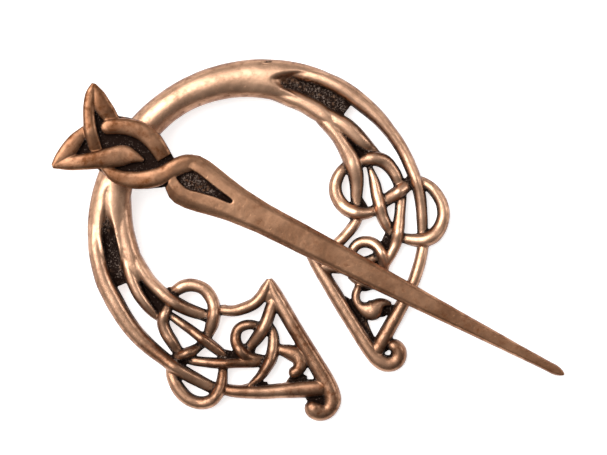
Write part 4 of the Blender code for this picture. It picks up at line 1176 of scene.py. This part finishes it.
@dataclass
class Hoop:
    """The hoop: a band with its two interlaced ends, as one casting.

    Attributes:
        plan: Sizes of the band.
        lie: Where the castings lie.
        strand_height: Height of a strand's crest at level 0.
        weave_rise: What one level adds to it.
        step: Spacing of the stations along a strand.
    """

    plan: HoopPlan
    lie: Lie
    strand_height: float = 2.2
    weave_rise: float = 0.75
    step: float = 0.3

    STATIONS = 330    # Sections of the band
    ACROSS = 84       # Points over the top of each

    def band(self) -> Array:
        """Surface of the band, from the slot on its right round the crown to the left one.

        Its section is flat below with bevelled corners, upright at the sides and a
        superellipse on top. Near its ends it sinks and draws in, under the rails that go on
        from it. The panels are sunk into it by their distance fields.

        Returns:
            Points by station and place round the section.
        """
        first, last = self.plan.right_slot_turn, self.plan.left_slot_turn
        turns = np.radians(np.linspace(first, last, self.STATIONS))
        point, normal = self.plan.edge(turns)
        ends = np.minimum(turns - turns[0], turns[-1] - turns)[:, None] / math.radians(self.plan.merge_turn)
        drawn_in = self.plan.merge_inset * (1 - ease(ends))
        point = point - normal * drawn_in
        width = self.plan.band_width(turns)[:, None] - 2 * drawn_in
        crest = self.plan.band_crest(turns)[:, None]
        across = 0.5 - 0.5 * np.cos(np.linspace(0, math.pi, self.ACROSS))[None]
        inset = self.plan.back_bevel / width
        shoulder = self.plan.upright * crest
        crown_power, foot_power = self.plan.roundness
        power = crown_power + (foot_power - crown_power) * self.plan.from_crown(turns)[:, None]
        arch = (1 - np.abs(2 * across - 1) ** power) ** (1 / power)
        top = shoulder + (crest - shoulder) * arch * ease(ends)
        plan = (point - normal * width)[:, None] + normal[:, None] * (across * width)[..., None]
        for panel in PANELS:
            top = panel.sunk(plan.reshape(-1, 2), top.ravel()).reshape(top.shape)
        ones = np.ones_like(width)
        shares = np.concatenate((inset, 0 * ones, across * ones, ones, 1 - inset), axis=1)
        heights = np.concatenate((0 * ones, self.plan.back_bevel * ones, top, self.plan.back_bevel * ones,
                                  0 * ones), axis=1)
        plan = (point - normal * width)[:, None] + normal[:, None] * (shares * width)[..., None]
        return np.concatenate((plan, heights[..., None]), axis=2)

    def build(self) -> bpy.types.Object:
        """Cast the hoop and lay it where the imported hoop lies.

        Returns:
            The finished object.
        """
        skin = CastSkin(waves=((2.6, 0.035, 7), (1.1, 0.018, 8)),
                        grains=((0.42, 1.0, 5), (0.25, 0.6, 6)), grain_height=0.07, rim=0.5)
        # Painted shade: the rubbed brightness fades towards -120 degrees in plan, darkening the left end most
        painted_falloff = PaintedFalloff(turn=-120.0, losses=((0.0, 0.0), (9.0, 0.1), (12.0, 0.4), (20.0, 0.8)))
        casting = Casting("hoop_casting", base=0.0, voxel=0.13, triangles=190_000, recesses=PANELS,
                          skin=skin, painted_falloff=painted_falloff)
        casting.add(self.band())
        for strand in LEFT_STRANDS + RIGHT_STRANDS:
            casting.add(bar_grid(strand, casting.base, self.strand_height, self.weave_rise, self.step))
        return casting.cast(self.lie.hoop)

    def dress(self, hoop: bpy.types.Object, finish: "AgedCopper") -> None:
        """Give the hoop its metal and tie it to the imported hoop.

        Args:
            hoop: The finished object.
            finish: Its metal.
        """
        hoop.data.materials.append(finish.material("hoop_copper"))
        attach(hoop, "hoop")
        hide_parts("hoop")


@dataclass
class Pin:
    """The pin: a knotted head, a flat shaft and the loop at its back, as one casting.

    Attributes:
        lie: Where the castings lie.
        length: From the tip to the head's points.
        head_top: Where the head's points end, above the hinge.
        shoulder_top: Where the shaft is widest.
        shoulder_width: Its width there.
        shaft_width: Its width below the shoulder.
        tip_width: Its width before the rounded tip.
        shaft_offset: How far its middle line stands to the right of the hinge.
        thickness: Of the shaft at the shoulder, and of its tip.
        plate: Thickness of the plate under the knot.
        knot_height: Height of the knot's strands over the plate.
        knot_rise: What one level adds to it.
        loop_wall: Thickness of the loop.
        loop_length: Its length along its axis.
        skew: Turn of the pin from the line across its loop, in degrees.
        step: Spacing of the stations along a strand of the knot.
    """

    lie: Lie
    length: float = 95.3
    head_top: float = 10.7
    shoulder_top: float = -11.3
    shoulder_width: float = 9.2
    shaft_width: float = 5.0
    tip_width: float = 1.8
    shaft_offset: float = 0.45
    thickness: tuple[float, float] = (2.1, 1.4)
    plate: float = 0.9
    knot_height: float = 1.1
    knot_rise: float = 0.3
    loop_wall: float = 0.9
    loop_length: float = 5.5
    skew: float = 4.7
    step: float = 0.25

    STATIONS = 460                # Sections of the shaft
    FLAT_POINTS = 40              # Points over the flat top of each
    FLAT_REACH = 0.27             # Where the flat ends, as a share of the width
    SWELL = 0.02                  # What the flat gains in its middle, of the thickness
    TOP = 0.9                     # Share of the thickness from which metal is sunk
    LOOP_STATIONS = 96            # Sections of the loop
    LOOP_POINTS = 32              # Points round each
    LOOP_POWERS = (0.2, 0.35)     # Powers that square its section, along and out
    LOOP_BITE = 0.25              # Share of the loop's wall that stays below the underside

    def shaft(self) -> Array:
        """Surface of the shaft: flat on top, with bevelled edges, and narrowing to its tip.

        The width follows shares of the way between the named widths. The teardrop is sunk
        into the top by its distance field.

        Returns:
            Points by station and place round the section.
        """
        reach = self.length - self.head_top + self.shoulder_top
        share = np.linspace(FLARE_SHARES[0][0], 1, self.STATIONS)
        flare = np.interp(share, *np.array(FLARE_SHARES).T)
        taper = np.interp(share, *np.array(FLARE_SHARES[-1:] + TAPER_SHARES).T)
        width = self.shaft_width + (self.shoulder_width - self.shaft_width) * flare
        width += (self.tip_width - self.shaft_width) * taper
        width *= np.interp(share, *np.array(TIP_SHARES).T)
        thick = np.interp(share, (0, 1), self.thickness)[:, None]
        out, side = np.array(SHAFT_SIDE).T
        flat = np.linspace(-self.FLAT_REACH, self.FLAT_REACH, self.FLAT_POINTS)
        crown = 1 + self.SWELL * np.cos(flat / self.FLAT_REACH * math.pi / 2)
        across = np.concatenate((out, flat, -out[::-1]))[None]
        up = np.concatenate((side, crown, side[::-1]))[None]
        x = self.shaft_offset + across * width[:, None]
        y = (self.shoulder_top - share * reach)[:, None] + 0 * x
        heights = thick * up
        plan = np.stack((x, y), axis=2).reshape(-1, 2)
        inside = TEARDROP.inside(plan).reshape(x.shape)
        sunk = ease(inside / TEARDROP.wall + 1) * (up > self.TOP)
        heights = heights + sunk * (np.minimum(heights, TEARDROP.floor) - heights)
        return np.stack((x, y, self.lie.underside + heights), axis=2)

    def plate_grid(self) -> Array:
        """Surface of the plate under the knot: its outline carried straight up.

        Returns:
            Points by level and place round the outline.
        """
        outline = np.array(PLATE_OUTLINE)
        levels = self.lie.underside + np.array((0.0, self.plate))
        return np.stack([np.column_stack((outline, np.full(len(outline), level))) for level in levels])

    def loop(self) -> Array:
        """Surface of the loop round the hoop: a rounded rectangle carried once round the hinge.

        Returns:
            Points by station and place round the section.
        """
        turn = np.linspace(0, 2 * math.pi, self.LOOP_STATIONS + 1)[:-1, None]
        bore = self.lie.underside - self.LOOP_BITE * self.loop_wall
        corner = np.linspace(0, 2 * math.pi, self.LOOP_POINTS + 1)[:-1]
        squared = [np.sign(wave) * np.abs(wave) ** power
                   for wave, power in zip((np.cos(corner), np.sin(corner)), self.LOOP_POWERS)]
        along = 0.5 * self.loop_length * squared[0]
        out = bore + self.loop_wall * (0.5 + 0.5 * squared[1])
        angle = math.radians(self.skew)
        side = np.cos(turn) * out
        x = math.cos(angle) * along + math.sin(angle) * side
        y = -math.sin(angle) * along + math.cos(angle) * side
        return np.stack((x, y, np.sin(turn) * out), axis=2)

    def build(self) -> bpy.types.Object:
        """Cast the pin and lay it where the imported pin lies.

        Returns:
            The finished object.
        """
        base = self.lie.underside
        skin = CastSkin(waves=((2.2, 0.018, 17), (0.9, 0.012, 18)),
                        grains=((0.40, 1.0, 15), (0.24, 0.6, 16)), grain_height=0.05, rim=0.4)
        # Painted shade: the rubbed brightness is taken away along -Y, most over the knot, less below the shoulder,
        # more again towards the tip
        losses = ((-4.0, 0.8), (8.0, 0.7), (16.0, 0.25), (55.0, 0.6), (80.0, 0.5))
        painted_falloff = PaintedFalloff(turn=-90.0, losses=losses)
        casting = Casting("pin_casting", base=base, voxel=0.105, triangles=170_000,
                          recesses=(TEARDROP, GROUND), skin=skin, painted_falloff=painted_falloff)
        casting.add(self.shaft())
        casting.add(self.plate_grid())
        casting.add(self.loop(), ring=True)
        # The strands stand in the plate by half its thickness
        for strand in KNOT_STRANDS:
            grid = bar_grid(strand, base + self.plate, self.knot_height, self.knot_rise, self.step)
            grid[:, (0, -1), 2] -= 0.5 * self.plate
            casting.add(grid)
        return casting.cast(self.lie.pin)

    def dress(self, pin: bpy.types.Object, finish: "AgedCopper") -> None:
        """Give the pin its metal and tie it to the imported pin.

        Args:
            pin: The finished object.
            finish: Its metal.
        """
        pin.data.materials.append(finish.material("pin_copper"))
        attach(pin, "pin")
        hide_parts("pin")


@dataclass
class Graph:
    """Short calls for making and joining nodes in one tree."""

    tree: NodeTree

    def node(self, kind: str, inputs: dict[str | int, object] | None = None,
             **settings: object) -> bpy.types.Node:
        """Make a node, set its properties, and join or set its inputs.

        Args:
            kind: The node's type.
            inputs: For each socket its value, or the socket it is fed from.
            **settings: The node's properties.

        Returns:
            The node.
        """
        made = self.tree.nodes.new(kind)
        for key, value in settings.items():
            setattr(made, key, value)
        for key, value in (inputs or {}).items():
            if isinstance(value, Socket):
                self.tree.links.new(value, made.inputs[key])
            else:
                made.inputs[key].default_value = value
        return made

    def math(self, operation: str, first: object, second: object = 0.0,
             clamp: bool = False) -> Socket:
        """Arithmetic on two values."""
        made = self.node("ShaderNodeMath", {0: first, 1: second}, operation=operation, use_clamp=clamp)
        return made.outputs[0]

    def span(self, value: object, low: float, high: float, to_low: float = 0.0,
             to_high: float = 1.0) -> Socket:
        """Carry a value smoothly from one range to another, held at its ends."""
        inputs = {"Value": value, "From Min": low, "From Max": high, "To Min": to_low, "To Max": to_high}
        return self.node("ShaderNodeMapRange", inputs, interpolation_type="SMOOTHSTEP").outputs["Result"]

    def blend(self, share: object, first: object, second: object) -> Socket:
        """Mix two colours, by the places of the colour sockets among the mixer's own."""
        return self.node("ShaderNodeMix", {0: share, 6: first, 7: second}, data_type="RGBA").outputs[2]

    def noise(self, place: object, size: float, detail: float = 2.0, rough: float = 0.5) -> Socket:
        """Smooth noise with features of a given size in metres."""
        inputs = {"Vector": place, "Scale": 1 / size, "Detail": detail, "Roughness": rough}
        return self.node("ShaderNodeTexNoise", inputs).outputs["Fac"]


class NodeGroup:
    """A node group shared by the finishes, with its inputs and outputs."""

    def __init__(self, name: str, inputs: tuple[tuple[str, str], ...],
                 outputs: tuple[tuple[str, str], ...]) -> None:
        """Make the group's interface and its two end nodes.

        Args:
            name: Name of the group.
            inputs: Names and socket types of its inputs.
            outputs: Names and socket types of its outputs.
        """
        self.tree = bpy.data.node_groups.new(name, "ShaderNodeTree")
        for side, sockets in (("INPUT", inputs), ("OUTPUT", outputs)):
            for label, kind in sockets:
                self.tree.interface.new_socket(label, in_out=side, socket_type=kind)
        self.graph = Graph(self.tree)
        self.given = self.graph.node("NodeGroupInput").outputs
        self.result = self.graph.node("NodeGroupOutput").inputs

    def give(self, name: str, socket: Socket) -> None:
        """Feed one output of the group."""
        self.tree.links.new(socket, self.result[name])


FLOAT = "NodeSocketFloat"
COLOUR = "NodeSocketColor"
VECTOR = "NodeSocketVector"


@dataclass(frozen=True)
class AgedCopper:
    """Copper alloy rubbed bright on its crests and dark with grit and patina in its hollows, with painted light:
    bright where it faces up and brown as painted shade on its sides.

    Attributes:
        bright: Colour of the rubbed metal, and of metal that faces up, as painted light.
        brown: Colour of the thin brown skin that is left on most of it, and painted shade on the sides that turn
            away.
        grime: Colour of the patina in the hollows.
        speckle: Colour of the pale grains in it.
        polish: Roughness of the rubbed metal.
        hollow_from: Hollowness at which the patina starts, and where it covers all.
        grain_height: Height of the grain in the patina, in metres.
    """

    bright: Colour = (0.93, 0.565, 0.37, 1)
    brown: Colour = (0.17, 0.068, 0.030, 1)
    grime: Colour = (0.014, 0.0055, 0.003, 1)
    speckle: Colour = (0.25, 0.185, 0.15, 1)
    polish: float = 0.34
    hollow_from: tuple[float, float] = (0.19, 0.35)
    grain_height: float = 0.00008

    # Noises, as the size of their features in metres, their detail and their roughness
    COARSE = (0.0016, 3.0, 0.6)
    FINE = (0.00042, 2.0, 0.6)
    GRAIN = (0.00030, 2.0, 0.65)
    CLOUD = (0.0060, 4.0, 0.6)
    MOTTLE = (0.0012, 3.0, 0.65)
    DENTS = (0.0013, 2.0)
    PITS = (0.00040, 1.0)

    # What the coarse and the fine noise add to the edge of the patina, and their mean sum
    COARSE_SHARE = 0.22
    FINE_SHARE = 0.24
    MEAN_SUM = 0.23

    # Height of the dents and of the pits in the cast skin, in metres, and the share that the
    # bump shows of all the relief
    DENT_HEIGHT = 0.00006
    PIT_HEIGHT = -0.00003
    RELIEF = 0.6

    # Smooth spans: from where to where a value is read, and what it is carried to if that
    # isn't 0 and 1. Of the hollowness, where a floor is open; of noises, where there are pale
    # grains, patches of them, pits, more rubbing, brown that hides it, and dull metal; of the
    # patina's mask, how metallic the skin is and how much wax is left on it
    OPEN_FLOOR = (0.34, 0.48, 0.07, -0.02)
    PALE = (0.56, 0.72)
    PATCHES = (0.36, 0.60)
    PITTED = (0.66, 0.80)
    CLOUD_RUBS = (0.35, 0.65, 0.0, 0.30)
    MOTTLE_HIDES = (0.45, 0.75, 0.0, 0.25)
    MOTTLE_DULLS = (0.35, 0.75, 0.0, 0.14)
    METAL = (0.2, 1.0, 1.0, 0.25)
    WAX = (0.0, 0.6, 0.08, 0.0)

    # How much rougher the patina is, how much it shines, and the roughness of the wax
    GRIME_ROUGHNESS = 0.35
    GLOSS = 0.1
    WAX_ROUGHNESS = 0.16

    @staticmethod
    @cache
    def patina_group() -> NodeTree:
        """Granular patina: where it lies, its colour and its grain.

        The mask is the hollowness, roughened by noise of two sizes, read between two edges.
        Pale grains stand in it where a fine noise is high, most of them away from walls.

        Returns:
            The group.
        """
        group = NodeGroup("granular patina",
                          (("Place", VECTOR), ("Hollow", FLOAT), ("From", FLOAT), ("To", FLOAT),
                           ("Grime", COLOUR), ("Speckle", COLOUR)),
                          (("Mask", FLOAT), ("Colour", COLOUR), ("Height", FLOAT)))
        graph, given = group.graph, group.given
        coarse = graph.noise(given["Place"], *AgedCopper.COARSE)
        fine = graph.noise(given["Place"], *AgedCopper.FINE)
        ragged = graph.math("ADD", graph.math("MULTIPLY", coarse, AgedCopper.COARSE_SHARE),
                            graph.math("MULTIPLY", fine, AgedCopper.FINE_SHARE))
        roughening = graph.math("SUBTRACT", ragged, AgedCopper.MEAN_SUM)
        edge = graph.math("ADD", given["Hollow"], roughening)
        above = graph.math("SUBTRACT", edge, given["From"])
        share = graph.math("DIVIDE", above, graph.math("SUBTRACT", given["To"], given["From"]), clamp=True)
        mask = graph.span(share, 0.0, 1.0)
        grain = graph.noise(given["Place"], *AgedCopper.GRAIN)
        open_floor = graph.span(given["Hollow"], *AgedCopper.OPEN_FLOOR)
        pale = graph.math("MULTIPLY", graph.span(graph.math("ADD", grain, open_floor), *AgedCopper.PALE),
                          graph.span(coarse, *AgedCopper.PATCHES))
        group.give("Mask", mask)
        group.give("Colour", graph.blend(pale, given["Grime"], given["Speckle"]))
        group.give("Height", graph.math("MULTIPLY", grain, mask))
        return group.tree

    @staticmethod
    @cache
    def rubbed_and_lit_group() -> NodeTree:
        """Rubbed copper and painted light: bright by the share, which holds rubbing and painted light, under a
        mottled brown skin and painted shade elsewhere.

        Returns:
            The group.
        """
        group = NodeGroup("rubbed copper",
                          (("Place", VECTOR), ("Share", FLOAT), ("Bright", COLOUR), ("Brown", COLOUR),
                           ("Polish", FLOAT)),
                          (("Colour", COLOUR), ("Roughness", FLOAT)))
        graph, given = group.graph, group.given
        cloud = graph.noise(given["Place"], *AgedCopper.CLOUD)
        mottle = graph.noise(given["Place"], *AgedCopper.MOTTLE)
        worn = graph.math("SUBTRACT", graph.span(cloud, *AgedCopper.CLOUD_RUBS),
                          graph.span(mottle, *AgedCopper.MOTTLE_HIDES))
        rub_and_light = graph.math("ADD", given["Share"], worn, clamp=True)
        group.give("Colour", graph.blend(rub_and_light, given["Brown"], given["Bright"]))
        dulled = graph.span(mottle, *AgedCopper.MOTTLE_DULLS)
        group.give("Roughness", graph.math("ADD", given["Polish"], dulled))
        return group.tree

    @staticmethod
    @cache
    def skin_group() -> NodeTree:
        """Cast skin: small dents and fine pits, as a height in metres.

        Returns:
            The group.
        """
        group = NodeGroup("cast skin", (("Place", VECTOR),), (("Height", FLOAT),))
        graph, place = group.graph, group.given["Place"]
        dents = graph.math("MULTIPLY", graph.noise(place, *AgedCopper.DENTS), AgedCopper.DENT_HEIGHT)
        pitted = graph.span(graph.noise(place, *AgedCopper.PITS), *AgedCopper.PITTED)
        pits = graph.math("MULTIPLY", pitted, AgedCopper.PIT_HEIGHT)
        group.give("Height", graph.math("ADD", dents, pits))
        return group.tree

    def material(self, name: str) -> bpy.types.Material:
        """Make the metal for one slot.

        Args:
            name: Name of the material.

        Returns:
            The material.
        """
        made = bpy.data.materials.new(name)
        made.use_nodes = True
        made.node_tree.nodes.clear()
        graph = Graph(made.node_tree)
        place = graph.node("ShaderNodeTexCoord").outputs["Object"]
        hollow = graph.node("ShaderNodeAttribute", attribute_name="hollow").outputs["Fac"]
        # The rubbed share holds both rubbing and painted light; its low values paint shade on the sides and in the
        # panels
        share = graph.node("ShaderNodeAttribute", attribute_name="rubbed_and_lit").outputs["Fac"]
        patina = graph.node("ShaderNodeGroup", {
            "Place": place, "Hollow": hollow, "From": self.hollow_from[0], "To": self.hollow_from[1],
            "Grime": self.grime, "Speckle": self.speckle}, node_tree=self.patina_group())
        rubbed_and_lit = graph.node("ShaderNodeGroup", {
            "Place": place, "Share": share, "Bright": self.bright, "Brown": self.brown,
            "Polish": self.polish}, node_tree=self.rubbed_and_lit_group())
        skin = graph.node("ShaderNodeGroup", {"Place": place}, node_tree=self.skin_group())
        mask = patina.outputs["Mask"]
        grains = graph.math("MULTIPLY", patina.outputs["Height"], self.grain_height)
        height = graph.math("ADD", skin.outputs["Height"], grains)
        bump = graph.node("ShaderNodeBump", {"Height": height, "Distance": 1.0, "Strength": self.RELIEF})
        shader = graph.node("ShaderNodeBsdfPrincipled", {
            "Base Color": graph.blend(mask, rubbed_and_lit.outputs["Colour"], patina.outputs["Colour"]),
            "Metallic": graph.span(mask, *self.METAL),
            "Roughness": graph.math("ADD", rubbed_and_lit.outputs["Roughness"],
                                    graph.math("MULTIPLY", mask, self.GRIME_ROUGHNESS)),
            "Specular IOR Level": self.GLOSS,
            "Coat Weight": graph.span(mask, *self.WAX),
            "Coat Roughness": self.WAX_ROUGHNESS,
            "Normal": bump.outputs["Normal"]})
        out = graph.node("ShaderNodeOutputMaterial")
        made.node_tree.links.new(shader.outputs["BSDF"], out.inputs["Surface"])
        return made


@dataclass(frozen=True)
class Lamp:
    """A soft square lamp, placed from the middle of the picture: right, up, and to the camera."""

    name: str
    place: tuple[float, float, float]
    size: float
    watts: float


@dataclass
class Studio:
    """A white table under soft light, seen by a long lens square to the hoop.

    Attributes:
        lie: Where the castings lie.
        middle: Point of the hoop's plan at the middle of the picture, in millimetres.
        picture_turn: Turn from the hoop's plan to the picture, in degrees.
        picture_width: Width that the picture shows at the hoop, in metres.
        lens: Focal length, in millimetres.
        sensor: Width of the sensor, in millimetres.
        floor_size: Side of the table, in metres.
        table_glow: Strength of the table's own light, which keeps it white.
        lamps: The lamps.
        sky_side: Where the sky is brightest, as right, up, and to the camera.
        sky_span: Cosine of the angle to there at which it starts to brighten, and ends.
        sky_strength: Its strength on the far side and there.
        sky_colour: Its colour.
    """

    lie: Lie
    middle: tuple[float, float] = (6.5, -5.4)
    picture_turn: float = 35.0
    picture_width: float = 0.1054
    lens: float = 180.0
    sensor: float = 36.0
    floor_size: float = 3.0
    table_glow: float = 0.65
    lamps: tuple[Lamp, ...] = (
        Lamp("key lamp", place=(-0.50, 0.34, 0.95), size=1.0, watts=12.5),
        Lamp("side lamp", place=(0.95, 0.35, 0.60), size=0.5, watts=2.5),
    )
    sky_side: tuple[float, float, float] = (-0.70, 0.45, 0.58)
    sky_span: tuple[float, float] = (-0.3, 1.0)
    sky_strength: tuple[float, float] = (0.09, 0.52)
    sky_colour: Colour = (1.0, 0.985, 0.965, 1)

    def axes(self) -> tuple[Vector, Vector, Vector]:
        """Find the picture's directions in the world.

        Returns:
            Its right, its up and the way to the camera.
        """
        turn = self.lie.hoop[:3, :3] / MM
        angle = math.radians(self.picture_turn)
        right = turn @ np.array((math.cos(angle), -math.sin(angle), 0))
        up = turn @ np.array((math.sin(angle), math.cos(angle), 0))
        return Vector(right), Vector(up), Vector(turn[:, 2])

    def target(self) -> Vector:
        """The middle of the picture, in the world."""
        return Vector(self.lie.hoop[:3] @ np.array((*self.middle, 0.0, 1.0)))

    def add_floor(self) -> None:
        """Lay the table and keep it out of the object."""
        half = self.floor_size / 2
        mesh = bpy.data.meshes.new("floor")
        corners = [(-half, -half, 0), (half, -half, 0), (half, half, 0), (-half, half, 0)]
        mesh.from_pydata(corners, [], [(0, 1, 2, 3)])
        floor = placed("floor", mesh)
        made = bpy.data.materials.new("white table")
        made.use_nodes = True
        shader = made.node_tree.nodes["Principled BSDF"]
        for key, value in (("Base Color", (0.9, 0.9, 0.9, 1)), ("Roughness", 0.9),
                           ("Emission Color", (1, 1, 1, 1)), ("Emission Strength", self.table_glow)):
            shader.inputs[key].default_value = value
        mesh.materials.append(made)
        floor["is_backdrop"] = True

    def add_light(self) -> None:
        """Light the table: a soft sky, brightest on one side, and the lamps."""
        world = bpy.data.worlds.new("soft sky")
        world.use_nodes = True
        graph = Graph(world.node_tree)
        background = world.node_tree.nodes["Background"]
        place = graph.node("ShaderNodeTexCoord").outputs["Generated"]
        right, up, forward = self.axes()
        bright = right * self.sky_side[0] + up * self.sky_side[1] + forward * self.sky_side[2]
        facing = graph.node("ShaderNodeVectorMath", {0: place, 1: bright.normalized()},
                            operation="DOT_PRODUCT").outputs["Value"]
        shade = graph.span(facing, *self.sky_span, *self.sky_strength)
        world.node_tree.links.new(shade, background.inputs["Strength"])
        background.inputs["Color"].default_value = self.sky_colour
        bpy.context.scene.world = world
        for lamp in self.lamps:
            light = bpy.data.lights.new(lamp.name, "AREA")
            light.size = lamp.size
            light.energy = lamp.watts
            holder = placed(lamp.name, light)
            offset = right * lamp.place[0] + up * lamp.place[1] + forward * lamp.place[2]
            holder.location = self.target() + offset
            holder.rotation_euler = (-offset).to_track_quat("-Z", "Y").to_euler()

    def add_camera(self) -> None:
        """Stand the camera square over the hoop, as far as its lens asks."""
        right, up, forward = self.axes()
        lens = bpy.data.cameras.new("camera")
        lens.lens = self.lens
        lens.sensor_width = self.sensor
        camera = placed("camera", lens)
        place = self.target() + forward * self.picture_width * self.lens / self.sensor
        turn = Matrix((right, up, forward)).transposed().to_4x4()
        camera.matrix_world = Matrix.Translation(place) @ turn
        bpy.context.scene.camera = camera

    def build(self) -> None:
        """Set up the whole studio."""
        bpy.context.scene.view_settings.view_transform = "Standard"
        self.add_floor()
        self.add_light()
        self.add_camera()


def main() -> None:
    """Cast and dress the two pieces, set up the studio and measure the CAD box and the built one."""
    logging.basicConfig(level=logging.INFO, format="%(message)s")
    plan = HoopPlan()
    lie = Lie.read(plan, Pin.skew)
    browner = AgedCopper(bright=(0.76, 0.42, 0.25, 1), brown=(0.17, 0.062, 0.023, 1))
    for casting, finish in ((Hoop(plan, lie), AgedCopper()), (Pin(lie), browner)):
        casting.dress(casting.build(), finish)
    Studio(lie).build()
    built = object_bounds()
    {"cad": plain(CAD_BOX), "built": plain(built)}


def plain(box: object) -> object:
    """A box as nested plain lists of numbers."""
    return [plain(part) for part in box] if hasattr(box, "__len__") else float(box)


if __name__ == "__main__":
    main()
